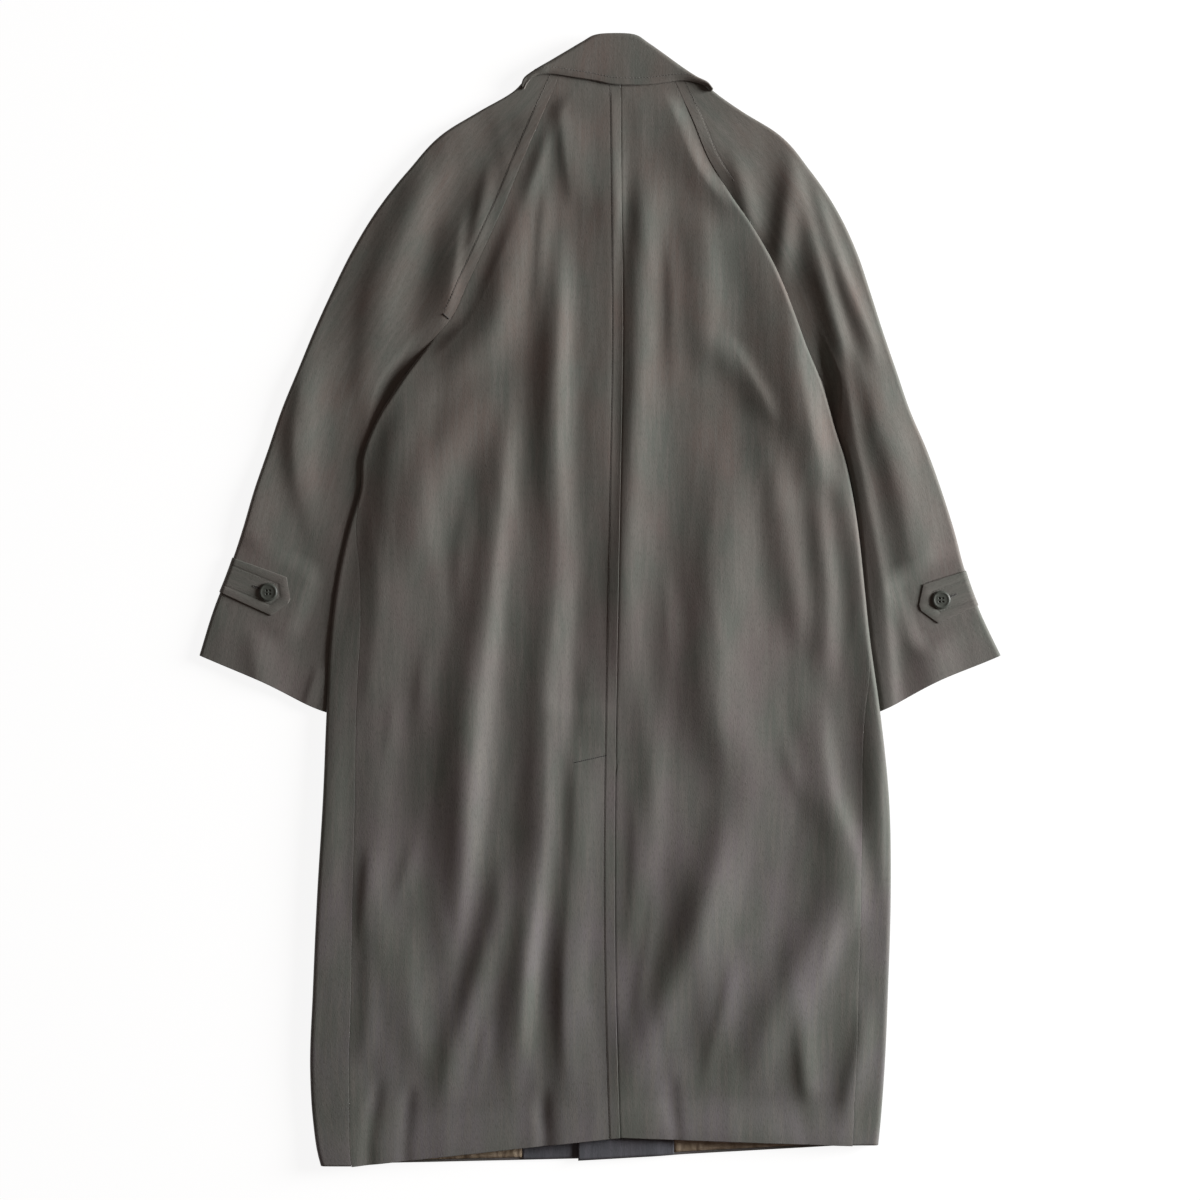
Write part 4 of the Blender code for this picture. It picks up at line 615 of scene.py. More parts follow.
def back_panel(side):
    """Grid of a back panel from its outer seam to the centre back, on the back's height.

    The left one carries the stitched strip of the lapped seam and is lifted over the vent's underlap.
    """
    edge_y = body_levels(side)
    centre_y = centre_levels(side, edge_y)
    outer_x = body_edge[side](edge_y) - side * (seam_inset(side, edge_y) + SEAM_GAP / 2)
    lapped = smoothstep((VENT_TOP_Y - centre_y) / VENT_LAP_RUN)
    stop_x = centre_edge(centre_y)
    if side == RIGHT:
        gap = blend(NECK_GAP, CENTRE_GAP, smoothstep((FRONT_NECK_Y - centre_y) / NECK_BLEND))
        stop_x = stop_x + blend(gap, -VENT_LAP, lapped)
    width = (stop_x - outer_x) * -side
    steps = STRIP_STEPS if side == LEFT else PLAIN_STEPS
    across = columns_across(width, EDGE_STEPS, BACK_COLUMNS, steps)
    x = outer_x - side * across
    y = edge_y + (centre_y - edge_y) * across / width
    z = upper_height(side, x, y) - seam_sink(across)
    if side == LEFT:
        below_neck = smoothstep((NECK_FLAT_Y - y) / STRIP_FADE)
        z = z + vent_lift(x, y) + stitched_strip(width - across) * below_neck
    else:
        sunk = seam_sink(x - centre_edge(y), CENTRE_SINK, CENTRE_SINK_REACH)
        z = z - VENT_LAP_DROP * lapped * (width - across < VENT_LAP) - sunk
    return points(x, y, z)


def front_floor(side, x, y):
    """Underside of a front as it lies: its level plus a small lift off the floor here and there."""
    return front_under(side, x, y) + np.maximum(0.0, waves(UNDER_WAVES, x, y))


def front_panel(side):
    """Grid of a front panel: from the front edge over the floor, round the folded side, on to the side seam.

    The fold is half an ellipse from the floor to the back; high up the raglan seam the panel ends flat.
    """
    edge_y = body_levels(side)[::UNDER_ROW_STEP]
    front_y = blend(FRONT_NECK_Y, FRONT_HEM_Y[side], (edge_y - NECK_Y) / (SIDE_HEM_Y[side] - NECK_Y))
    edge = body_edge[side](edge_y)
    width = (edge - side * FOLD_REACH - FRONT_EDGE_X[side]) * side
    across = columns_across(width, EDGE_STEPS, FRONT_COLUMNS, (0.0,))
    floor_x = FRONT_EDGE_X[side] + side * across
    floor_y = front_y + (edge_y - front_y) * across / width
    flat = points(floor_x, floor_y, front_floor(side, floor_x, floor_y))
    turn = np.linspace(0.0, 1.0, SIDE_COLUMNS + 1)[None, 1:]
    shows = np.maximum(seam_inset(side, edge_y) - SEAM_GAP / 2, 0.0)
    angle = np.pi / 2 * np.clip(1 - 2 * turn, 0.0, 1.0)
    inside = FOLD_REACH * (1 - np.cos(angle)) + shows * smoothstep(2 * turn - 1)
    side_x = edge - side * inside
    low = front_floor(side, edge - side * FOLD_REACH, edge_y)
    middle = upper_height(side, edge, edge_y)
    upper_z = upper_height(side, side_x, edge_y) - seam_sink(shows - inside)
    folded_z = np.where(turn < 0.5, middle - (middle - low) * np.sin(angle), upper_z)
    flat_x = edge - side * (FOLD_REACH - (FOLD_REACH - SEAM_GAP / 2) * turn)
    below = smoothstep((FOLD_FROM_Y[side] - edge_y) / FOLD_RUN)
    turned_x = blend(flat_x, side_x, below)
    turned_z = blend(front_under(side, flat_x, edge_y), folded_z, below)
    return np.concatenate((flat, points(turned_x, edge_y, turned_z)), axis=1)


def sleeve_inner_x(side, y):
    """Inner edge of a sleeve: the raglan seam, then tucked under the body below the armpit."""
    tuck = SLEEVE_TUCK * smoothstep((ARMPIT_Y - y) / SLEEVE_TUCK_RUN)
    return body_edge[side](y) - side * (tuck - SEAM_GAP / 2 * (y >= ARMPIT_Y))


def distance_along(path):
    """Distance along a line of points from its first one."""
    return np.concatenate(((0.0,), np.cumsum(np.linalg.norm(np.diff(path, axis=0), axis=-1))))


def sleeve_ends(side):
    """Outer and inner end of each row across a sleeve, at the same share of the way down both edges."""
    upper = np.linspace(NECK_Y, ARMPIT_Y, RAGLAN_ROWS + 1)
    lower = np.linspace(ARMPIT_Y, CUFF_INNER_Y + HEM_STEPS[0], CUFF_ROWS + 1)
    inner_y = np.concatenate((upper, lower[1:], CUFF_INNER_Y + np.array(HEM_STEPS[1:])))
    inner = np.stack((sleeve_inner_x(side, inner_y), inner_y), axis=-1)
    down = distance_along(inner)
    dense_y = np.linspace(SLEEVE_EDGE[0][0], SLEEVE_EDGE[-1][0], SLEEVE_EDGE_STEPS)
    dense_down = distance_along(np.stack((sleeve_edge[side](dense_y), dense_y), axis=-1))
    outer_y = np.interp(down / down[-1], dense_down / dense_down[-1], dense_y)
    return np.stack((sleeve_edge[side](outer_y), outer_y), axis=-1), inner


def cuff_bow(side, inner_y, share):
    """How far the cuff's edge bows out: half a sine wave near its inner end that dies away along the edge,
    less a shallow dip in the middle."""
    near_cuff = smoothstep((CUFF_BOW_FROM_Y - inner_y) / (CUFF_BOW_FROM_Y - CUFF_INNER_Y))
    along = np.clip(share / CUFF_BOW_SHARE, 0.0, 1.0)
    bow = CUFF_BOW[side] * np.sin(np.pi * along) * (1 - along)
    return near_cuff * (bow - CUFF_DIP[side] * np.sin(np.pi * share) ** 2)


def sleeve_back(side):
    """Grid of a sleeve's upper half: from the inner edge over the top, then half an ellipse round the outer
    edge to the seam below. The strip beside the raglan seam is raised and stitched."""
    outer, inner = sleeve_ends(side)
    length = np.linalg.norm(inner - outer, axis=1)[:, None]
    along = (inner - outer) / length
    from_seam = columns_across(length, STRIP_STEPS[::-1], SLEEVE_COLUMNS, (FOLD_REACH,))
    x = inner[:, :1] - from_seam * along[:, :1]
    y = inner[:, 1:] - from_seam * along[:, 1:] - cuff_bow(side, inner[:, 1:], from_seam / length)
    hold = tucked(inner[:, 1:]) * (1 - smoothstep((from_seam - TUCKED_FLAT) / TUCKED_BLEND[side]))
    z = blend(sleeve_height(x, y), SLEEVE_TUCKED, hold)
    strip = stitched_strip(from_seam) * smoothstep((inner[:, 1:] - RAGLAN_STITCHES_TO[side]) / STRIP_FADE)
    top = points(x, y, z + strip * smoothstep((SLEEVE_NECK_FLAT_Y - y) / STRIP_FADE))
    floor = neck_rise(outer[:, 1:])
    middle, half = (z[:, -1:] + floor) / 2, (z[:, -1:] - floor) / 2
    angle = np.radians(np.linspace(90.0, -90.0, ROLL_COLUMNS + 1))[None, 1:]
    reach = np.concatenate((FOLD_REACH * (1 - np.cos(angle)), ((OVERARM_INSET,),)), axis=1)
    roll_z = np.concatenate((middle + half * np.sin(angle), floor), axis=1)
    roll = points(outer[:, :1] + reach * along[:, :1], outer[:, 1:] + reach * along[:, 1:], roll_z)
    return np.concatenate((top, roll), axis=1)


def sleeve_front(side):
    """Grid of a sleeve's lower half, on the floor between the seam below and the inner edge."""
    outer, inner = (ends[::UNDER_ROW_STEP] for ends in sleeve_ends(side))
    length = np.linalg.norm(inner - outer, axis=1)[:, None]
    along = (inner - outer) / length
    seam = outer + (OVERARM_INSET + SEAM_GAP) * along
    share = np.linspace(0.0, 1.0, FRONT_COLUMNS + 1)[None, :]
    x = blend(seam[:, :1], inner[:, :1], share)
    y = blend(seam[:, 1:], inner[:, 1:], share) - cuff_bow(side, inner[:, 1:], 1 - share)
    lift = np.maximum(0.0, waves(UNDER_WAVES, x, y)) * np.sin(np.pi * share)
    return points(x, y, neck_rise(outer[:, 1:]) + lift)


def collar():
    """Grid of the collar, station by station: from the fall's edge up to the roll, half an ellipse round it,
    then back along the stand below."""
    stations = [(number, *row) for number, row in enumerate(COLLAR)]
    at = np.linspace(0, len(COLLAR) - 1, COLLAR_STATIONS)[:, None]
    roll_x, roll_y, edge_x, edge_y = (curve(stations, column)(at) for column in (1, 2, 3, 4))
    length = np.hypot(edge_x - roll_x, edge_y - roll_y)
    reach = np.minimum(COLLAR_ROLL_REACH, COLLAR_ROLL_SHARE * length)
    fall = blend(length, reach, np.linspace(0.0, 1.0, COLLAR_FALL_COLUMNS + 1)[None, :])
    from_tip = smoothstep((roll_x - COLLAR_TIP_X) / COLLAR_TIP_RUN)
    edge_top = blend(COLLAR_TIP_EDGE, COLLAR_EDGE_TOP, from_tip)
    roll_top = blend(COLLAR_TIP_ROLL, COLLAR_ROLL_TOP, from_tip)
    fall_z = edge_top + (roll_top - edge_top) * (1 - (fall / length) ** COLLAR_FALL_POWER)
    sunk = COLLAR_STITCH_DEPTH * np.exp(-(((length - fall - COLLAR_STITCH_IN) / STITCH_REACH) ** 2))
    top = fall_z[:, -1:]
    middle, half = (top + COLLAR_UNDER) / 2, (top - COLLAR_UNDER) / 2
    angle = np.radians(np.linspace(90.0, -90.0, COLLAR_ROLL_COLUMNS + 1))[None, 1:]
    stand_end = np.maximum(COLLAR_STAND_SHARE * length, reach + COLLAR_STAND_LEAST)
    stand = blend(reach, stand_end, np.linspace(0.0, 1.0, COLLAR_STAND_COLUMNS + 1)[None, 1:])
    out = np.concatenate((fall, reach * (1 - np.cos(angle)), stand), axis=1)
    under = np.full(stand.shape, COLLAR_UNDER)
    z = np.concatenate((fall_z - sunk, middle + half * np.sin(angle), under), axis=1)
    return points(roll_x + out * (edge_x - roll_x) / length, roll_y + out * (edge_y - roll_y) / length, z)


def collar_point(side):
    """Grid of one end of the collar, flat on the floor under the front: a four-sided patch."""
    (roll_x, roll_y, edge_x, edge_y), (front_x, front_y, tip_x, tip_y) = COLLAR_POINT[side]
    across = np.linspace(0.0, 1.0, FRONT_COLUMNS)[:, None]
    down = np.linspace(0.0, 1.0, FRONT_COLUMNS)[None, :]
    x = blend(blend(roll_x, front_x, across), blend(edge_x, tip_x, across), down)
    y = blend(blend(roll_y, front_y, across), blend(edge_y, tip_y, across), down)
    return points(x, y, 0.0)


def tab_level(reach):
    """Top of a cuff tab by its distance in from the sleeve's edge, where it lies flat."""
    return np.full(np.shape(reach), SLEEVE_REST + TAB_GAP + TAB_CLOTH)


def tab_half_width(side, reach):
    """Half the width of a cuff tab: a little wider towards the end, then in to the blunt point."""
    shoulder = TAB_LENGTH[side] - TAB_POINT
    body = blend(TAB_ROOT_WIDTH, TAB_WIDTH, np.clip(reach / shoulder, 0.0, 1.0))
    return blend(TAB_TIP_WIDTH, body, np.clip((TAB_LENGTH[side] - reach) / TAB_POINT, 0.0, 1.0)) / 2


def on_tab(side, reach, sideways, level):
    """Points of a cuff tab from distances in from the sleeve's edge and to the side of the tab's middle."""
    along = np.array(TAB_ALONG[side])
    across = np.array((along[1], -along[0])) * side
    root = tab_place(side, 0.0)
    start_x, start_y = (root[axis] + sideways * across[axis] for axis in (0, 1))
    near_edge = 1 - smoothstep((reach - FOLD_REACH) / TAB_EDGE_RUN)
    x = start_x + reach * along[0] + (sleeve_edge[side](start_y) - start_x) * near_edge
    return points(x, start_y + reach * along[1], level)


def cuff_tab(side):
    """Grid of a cuff tab, along it by across it: part of an ellipse round the sleeve's edge, then flat over
    the sleeve to the blunt point. The border outside the stitches is puffed and the stitches are sunk."""
    out = TAB_GAP + TAB_CLOTH
    angle = np.radians(np.linspace(TAB_FROM_ANGLE, 90.0, TAB_ROLL_COLUMNS + 1))
    flat = np.linspace(FOLD_REACH, TAB_LENGTH[side], TAB_COLUMNS + 1)[1:]
    reach = np.concatenate((FOLD_REACH - (FOLD_REACH + out) * np.cos(angle), flat))[:, None]
    middle = SLEEVE_REST / 2
    level = np.concatenate((middle + (middle + out) * np.sin(angle), tab_level(flat)))[:, None]
    half = tab_half_width(side, reach)
    sideways = np.linspace(-1.0, 1.0, TAB_ROWS)[None, :] * half
    slope = (TAB_WIDTH - TAB_TIP_WIDTH) / 2
    to_end = TAB_LENGTH[side] - reach
    past_tip = (np.abs(sideways) - TAB_TIP_WIDTH / 2) * TAB_POINT
    to_point = (to_end * slope - past_tip) / np.hypot(slope, TAB_POINT)
    to_edge = np.minimum(np.minimum(TAB_WIDTH / 2 - np.abs(sideways), to_point), to_end)
    border = 1 - (np.clip(to_edge / TAB_STITCH_IN, 0.0, 1.0) * 2 - 1) ** 2
    sunk = STITCH_DEPTH * np.exp(-(((to_edge - TAB_STITCH_IN) / STITCH_REACH) ** 2))
    return on_tab(side, reach, sideways, level + TAB_PUFF * border - sunk)


def tab_stitch_line(side):
    """The line of stitches round a cuff tab, a fixed distance in from its sides and its point."""
    inset = TAB_STITCH_IN
    shoulder = TAB_LENGTH[side] - TAB_POINT - TAB_STITCH_SHOULDER * inset
    tip = TAB_LENGTH[side] - inset
    reach = np.array((FOLD_REACH, shoulder, tip, tip, shoulder, FOLD_REACH))
    half = tab_half_width(side, np.minimum(reach, shoulder)) - inset
    sideways = np.array((-1, -1, -TAB_STITCH_TIP, TAB_STITCH_TIP, 1, 1)) * half
    at = np.linspace(0, len(reach) - 1, LINE_POINTS)
    number = np.arange(len(reach))
    reach, sideways = np.interp(at, number, reach), np.interp(at, number, sideways)
    return on_tab(side, reach, sideways, tab_level(reach) - STITCH_DEPTH)


def button(side):
    """Grid of a four-hole button, ring by ring: its section turned round the middle, with four round pits in
    the dish that have soft edges."""
    section = np.array(BUTTON_SECTION)
    done = distance_along(section)
    at = np.linspace(0.0, done[-1], BUTTON_RINGS)
    radius, height = (np.interp(at, done, section[:, column])[:, None] for column in (0, 1))
    angle = np.linspace(0.0, 2 * np.pi, BUTTON_ROUND, endpoint=False)[None, :]
    x, y = radius * np.cos(angle), radius * np.sin(angle)
    spread_out = BUTTON_HOLE_SPREAD / np.sqrt(2)
    from_hole = np.hypot(np.abs(x) - spread_out, np.abs(y) - spread_out)
    pit = smoothstep((BUTTON_HOLE_RADIUS + BUTTON_HOLE_SOFT / 2 - from_hole) / BUTTON_HOLE_SOFT)
    on_top = at[:, None] < done[-2]
    z = height - BUTTON_HOLE_DEPTH * pit * on_top * (height > BUTTON_HOLE_DEPTH)
    middle = tab_place(side, TAB_LENGTH[side] - BUTTON_FROM_TIP)
    base = SLEEVE_REST + TAB_GAP + TAB_CLOTH + LAYER_GAP
    return points(middle[0] + x, middle[1] + y, base + z)


def buttonhole(side):
    """The oval line of a buttonhole's cord on the cuff tab, towards the sleeve's edge from the button."""
    button_at = TAB_LENGTH[side] - BUTTON_FROM_TIP
    angle = np.linspace(0.0, 2 * np.pi, LINE_POINTS)
    long_half = (BUTTONHOLE_TO - BUTTONHOLE_FROM) / 2
    reach = button_at - BUTTONHOLE_FROM - long_half + long_half * np.cos(angle)
    return on_tab(side, reach, BUTTONHOLE_HALF_WIDTH * np.sin(angle), tab_level(reach))


def buttonhole_slit_shade_line(side):
    """The line of a buttonhole's slit, along its middle, where a near-black long ball is laid as the slit's
    painted shade.
    """
    button_at = TAB_LENGTH[side] - BUTTON_FROM_TIP
    reach = np.array((button_at - BUTTONHOLE_TO, button_at - BUTTONHOLE_FROM))
    return on_tab(side, reach, np.zeros(2), tab_level(reach))


def between(ends):
    """Places along the straight line between two points of the plan."""
    share = np.linspace(0.0, 1.0, LINE_POINTS)
    return [blend(start, end, share) for start, end in zip(*ends)]


def stay_line():
    """The slanting line of stitches at the top of the vent, on the left back."""
    x, y = between(VENT_STAY)
    raised = stitched_strip(centre_edge(y) - x) * (centre_edge(y) - x < STRIP_WIDTH)
    return points(x, y, upper_height(LEFT, x, y) + vent_lift(x, y) + raised)


def raglan_bar():
    """The short bar of stitches that ends the left raglan strip."""
    x, y = between(RAGLAN_BAR)
    return points(x, y, sleeve_height(x, y) + STRIP_RAISE)


def vent_underlap():
    """Grid of the vent's underlap: the left back's own surface near the vent, moved down under it."""
    top_y, low_y = VENT_TOP_Y - VENT_UNDERLAP_BELOW, CENTRE_HEM_Y + FACING_ABOVE_HEM
    y = np.linspace(top_y, low_y, SIDE_ROWS // 2)[:, None]
    inside = np.linspace(VENT_UNDERLAP_WIDTH, VENT_LAP + SEAM_GAP, FRONT_COLUMNS)[None, :]
    x = centre_edge(y) - inside
    z = upper_height(LEFT, x, y) + vent_lift(x, y) - SHELL - VENT_UNDERLAP_GAP
    return points(x, y, z)


def inside_piece(side, from_x, to_x, thickness, above_hem):
    """Grid of a piece that lies on the inside of a front near its hem: the front's floor level, moved up."""
    rise = np.linspace(INSIDE_HEIGHT, above_hem, INSIDE_ROWS)[:, None]
    x = blend(from_x, to_x, np.linspace(0.0, 1.0, INSIDE_COLUMNS)[None, :])
    edge_x = body_edge[side](SIDE_HEM_Y[side]) - side * FOLD_REACH
    across = (x - FRONT_EDGE_X[side]) / (edge_x - FRONT_EDGE_X[side])
    y = blend(FRONT_HEM_Y[side], SIDE_HEM_Y[side], across) + rise
    return points(x, y, front_floor(side, x, y) + SHELL + LAYER_GAP + thickness)


def linear(hex_colour):
    """An sRGB hex colour as linear red, green, blue and alpha."""
    parts = np.array([int(hex_colour[at:at + 2], 16) for at in (1, 3, 5)]) / 255
    return (*np.where(parts <= 0.04045, parts / 12.92, ((parts + 0.055) / 1.055) ** 2.4), 1.0)


def node(tree, kind, inputs=(), **settings):
    """Add a node with its settings; each input is a socket and the value or output that goes into it."""
    made = tree.nodes.new(kind)
    for name, value in settings.items():
        setattr(made, name, value)
    for socket, value in dict(inputs).items():
        if isinstance(value, bpy.types.NodeSocket):
            tree.links.new(value, made.inputs[socket])
        else:
            made.inputs[socket].default_value = value
    return made


def new_material(name, **sockets):
    """A material and its shader, with the constants set on the shader's own sockets."""
    made = bpy.data.materials.new(name)
    made.use_nodes = True
    shader = made.node_tree.nodes["Principled BSDF"]
    for socket, value in sockets.items():
        shader.inputs[socket.replace("_", " ")].default_value = value
    return made, shader


def spread(tree, cloth, across, along, detail):
    """Noise drawn out along the warp: patches of the given size in metres across and along the cloth."""
    place = node(tree, "ShaderNodeMapping", {"Vector": cloth, "Scale": (1 / across, 1 / along, 1.0)})
    settings = {"Vector": place.outputs[0], "Scale": 1.0, "Detail": detail}
    return node(tree, "ShaderNodeTexNoise", settings).outputs[0]


def toned(tree, share, low, high, first, second):
    """A colour between two others, as a noise goes from a low value to a high one."""
    part = node(tree, "ShaderNodeMapRange", {0: share, 1: low, 2: high})
    mixed = node(tree, "ShaderNodeMix", {0: part.outputs[0]}, data_type="RGBA")
    for socket, colour in (("A", first), ("B", second)):
        if isinstance(colour, bpy.types.NodeSocket):
            tree.links.new(colour, mixed.inputs[socket])
        else:
            mixed.inputs[socket].default_value = linear(colour)
    return mixed.outputs["Result"]


def finish_surface(tree, shader, colour, height, strength, depth):
    """Give a shader its colour, and a relief of a depth in metres from a height between 0 and 1."""
    tree.links.new(colour, shader.inputs["Base Color"])
    relief = node(tree, "ShaderNodeBump", {"Strength": strength, "Distance": depth, "Height": height})
    tree.links.new(relief.outputs[0], shader.inputs["Normal"])


def wool(name, green, brown, mauve, pale, dark):
    """Wool gabardine: mottled green-grey and brown that turns mauve towards the hem, with pale dye streaks
    and dark slubs drawn out along the warp, a faint twill and a soft nap that breaks up the light."""
    made, shader = new_material(name, Roughness=0.82, IOR=1.45, Sheen_Weight=0.12, Sheen_Roughness=0.5)
    tree = made.node_tree
    cloth = node(tree, "ShaderNodeUVMap", uv_map="cloth").outputs["UV"]
    place = node(tree, "ShaderNodeTexCoord").outputs["Object"]
    height = node(tree, "ShaderNodeSeparateXYZ", {0: place}).outputs[1]
    red = toned(tree, height, WARM_Y, COOL_Y, brown, mauve)
    base = toned(tree, spread(tree, cloth, *MOTTLE), *MOTTLE_FADE, green, red)
    paler = toned(tree, spread(tree, cloth, *STREAK), *STREAK_FADE, base, pale)
    colour = toned(tree, spread(tree, cloth, *SLUB), *SLUB_FADE, paler, dark)
    lean = (0.0, 0.0, np.radians(TWILL_LEAN))
    turned = node(tree, "ShaderNodeMapping", {"Vector": cloth, "Rotation": lean}).outputs[0]
    scale = 2 * np.pi / (WAVE_TEXTURE_TURN * TWILL_PITCH)
    settings = {"Vector": turned, "Scale": scale, "Distortion": TWILL_WANDER}
    twill = node(tree, "ShaderNodeTexWave", settings).outputs[0]
    ribs = node(tree, "ShaderNodeMath", {0: twill, 1: TWILL_SHARE}, operation="MULTIPLY").outputs[0]
    nap = spread(tree, cloth, *NAP)
    pile = node(tree, "ShaderNodeMath", {0: ribs, 1: nap}, operation="ADD").outputs[0]
    finish_surface(tree, shader, colour, pile, NAP_STRENGTH, NAP_DEPTH)
    return made


def satin(name, light, dark):
    """Satin lining: smooth glossy filament with a soft sheen across its creases and a faint uneven tone."""
    made, shader = new_material(name, Roughness=0.38, IOR=1.5, Sheen_Weight=0.25, Sheen_Roughness=0.3)
    tree = made.node_tree
    cloth = node(tree, "ShaderNodeUVMap", uv_map="cloth").outputs["UV"]
    tone = toned(tree, spread(tree, cloth, *SATIN_TONE), *SATIN_FADE, dark, light)
    finish_surface(tree, shader, tone, spread(tree, cloth, *SATIN_CREASE), SATIN_STRENGTH, SATIN_DEPTH)
    return made


def moulded(name, colour, worn):
    """Moulded button resin: dark and low in sheen, faintly clouded, with a fine matt grain."""
    made, shader = new_material(name, Roughness=0.5, IOR=1.52)
    tree = made.node_tree
    place = node(tree, "ShaderNodeTexCoord").outputs["Object"]
    cloud, grain = (
        node(tree, "ShaderNodeTexNoise", {"Vector": place, "Scale": 1 / size, "Detail": detail}).outputs[0]
        for size, detail in ((RESIN_CLOUD, CLOUD_DETAIL), (RESIN_GRAIN, GRAIN_DETAIL))
    )
    tone = toned(tree, cloud, *RESIN_FADE, colour, worn)
    finish_surface(tree, shader, tone, grain, RESIN_STRENGTH, RESIN_DEPTH)
    return made


def spun(name, colour, worn):
    """Sewing thread: matt, with a fine ply along the stitch."""
    made, shader = new_material(name, Roughness=0.7, IOR=1.5, Sheen_Weight=0.2)
    tree = made.node_tree
    place = node(tree, "ShaderNodeTexCoord").outputs["Object"]
    settings = {"Vector": place, "Scale": 1 / THREAD_PLY, "Detail": GRAIN_DETAIL}
    ply = node(tree, "ShaderNodeTexNoise", settings).outputs[0]
    tree.links.new(toned(tree, ply, *THREAD_FADE, colour, worn), shader.inputs["Base Color"])
    return made


def add_mesh(name, place, faces, finish):
    """A smooth mesh from points in millimetres and faces of four corners."""
    mesh = bpy.data.meshes.new(name)
    mesh.from_pydata((place * MM).tolist(), [], faces.tolist())
    mesh.shade_smooth()
    mesh.materials.append(finish)
    made = bpy.data.objects.new(name, mesh)
    bpy.context.scene.collection.objects.link(made)
    return made


def add_grid(name, grid, cloth, thickness=0.0, upwards=True, turned=False, plan=False):
    """A mesh from a grid of points, with its faces towards the side that is mostly up or down and its
    thickness added on the other side. Its cloth map is in metres: across and along it from its middle
    column, or the same turned by a quarter, or just its plan."""
    rows, columns = grid.shape[:2]
    across = np.cumsum(np.linalg.norm(np.diff(grid, axis=1, prepend=grid[:, :1]), axis=-1), axis=1)
    across = across - across[:, columns // 2, None]
    down = np.broadcast_to(distance_along(grid[:, columns // 2])[:, None], across.shape)
    cloth_map = np.stack((down, across) if turned else (across, down), axis=-1)
    if plan:
        cloth_map = grid[..., :2]
    rise = np.cross(np.gradient(grid, axis=0), np.gradient(grid, axis=1))[..., 2].sum()
    if (rise > 0) != upwards:
        grid, cloth_map = grid[:, ::-1], cloth_map[:, ::-1]
    corner = np.arange(rows * columns).reshape(rows, columns)
    quads = (corner[:-1, :-1], corner[1:, :-1], corner[1:, 1:], corner[:-1, 1:])
    faces = np.stack(quads, axis=-1).reshape(-1, 4)
    made = add_mesh(name, grid.reshape(-1, 3), faces, cloth)
    corner_map = cloth_map.reshape(-1, 2)[faces.ravel()] * MM
    made.data.uv_layers.new(name="cloth").data.foreach_set("uv", corner_map.ravel())
    if thickness:
        wall = made.modifiers.new("cloth thickness", "SOLIDIFY")
        wall.thickness = thickness * MM
        wall.offset = -1.0
    return made


def row_point(grid, distance):
    """The point at a distance along each row of a grid, from the row's start."""
    steps = np.linalg.norm(np.diff(grid, axis=1), axis=-1)
    done = np.concatenate((np.zeros((len(grid), 1)), np.cumsum(steps, axis=1)), axis=1)
    before = np.clip((done <= distance).sum(axis=1) - 1, 0, grid.shape[1] - 2)
    row = np.arange(len(grid))
    share = ((distance - done[row, before]) / steps[row, before])[:, None]
    return blend(grid[row, before], grid[row, before + 1], share)


def stitch_places(line, pitch, length):
    """Middles and directions of the stitches along a line of points, one pitch apart."""
    done = distance_along(line)
    at = np.arange(pitch / 2, done[-1], pitch)
    start, end = (
        np.stack([np.interp(at + shift, done, line[:, axis]) for axis in range(3)], axis=-1)
        for shift in (-length / 2, length / 2)
    )
    along = end - start
    return (start + end) / 2, along / np.linalg.norm(along, axis=1)[:, None]


def closed(made):
    """Merge a mesh's doubled points at its poles and turn its faces outwards."""
    work = bmesh.new()
    work.from_mesh(made.data)
    bmesh.ops.remove_doubles(work, verts=work.verts, dist=MERGE_DISTANCE)
    bmesh.ops.recalc_face_normals(work, faces=work.faces)
    work.to_mesh(made.data)
    work.free()


def add_stitches(name, lines, finish, pitch=STITCH_PITCH, stitch_length=STITCH_LENGTH, width=STITCH_WIDTH):
    """Rows of stitches as one piece: each stitch is a long ball, an ellipse turned round its own length."""
    middle, along = (
        np.concatenate(parts) for parts in zip(*[stitch_places(line, pitch, stitch_length) for line in lines])
    )
    side = np.cross(along, (0.0, 0.0, 1.0))
    side = side / np.linalg.norm(side, axis=1)[:, None]
    rise = np.cross(side, along)
    turn = np.linspace(0.0, np.pi, STITCH_ALONG)[:, None]
    around = np.linspace(0.0, 2 * np.pi, STITCH_ROUND, endpoint=False)[None, :]
    length = stitch_length / 2 * np.cos(turn) + 0 * around
    out = width / 2 * np.sin(turn) * np.cos(around)
    up = width / 2 * np.sin(turn) * np.sin(around)
    ball = [part.ravel()[None, :, None] for part in (length, out, up)]
    place = middle[:, None] + ball[0] * along[:, None] + ball[1] * side[:, None] + ball[2] * rise[:, None]
    corner = np.arange(STITCH_ALONG * STITCH_ROUND).reshape(STITCH_ALONG, STITCH_ROUND)
    beside = np.roll(corner, -1, axis=1)
    faces = np.stack((corner[:-1], beside[:-1], beside[1:], corner[1:]), axis=-1).reshape(-1, 4)
    every = faces[None] + np.arange(len(middle))[:, None, None] * corner.size
    made = add_mesh(name, place.reshape(-1, 3), every.reshape(-1, 4), finish)
    closed(made)
    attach(made, "root")


def dress(solid, grid, cloth, thickness, upwards=True, turned=False, plan=False):
    """The cloth piece that stands for a solid: its mesh, body and slot, with the solid hidden."""
    made = add_grid(f"cloth_{solid}", grid, cloth, thickness, upwards, turned, plan)
    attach(made, "root")
    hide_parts(solid)
    return made


def add_floor():
    """A plain pale floor, flat and square, that glows a little so that shadows on it stay faint."""
    made, shader = new_material("pale_floor_paint", Roughness=0.9, Emission_Strength=FLOOR_GLOW)
    shader.inputs["Base Color"].default_value = linear(FLOOR_COLOUR)
    shader.inputs["Emission Color"].default_value = linear(FLOOR_LIGHT)
    ends = np.array((-FLOOR_SIZE, FLOOR_SIZE)) / 2
    floor = add_grid("floor", points(ends[None, :], ends[::-1, None], -FLOOR_CLEAR), made)


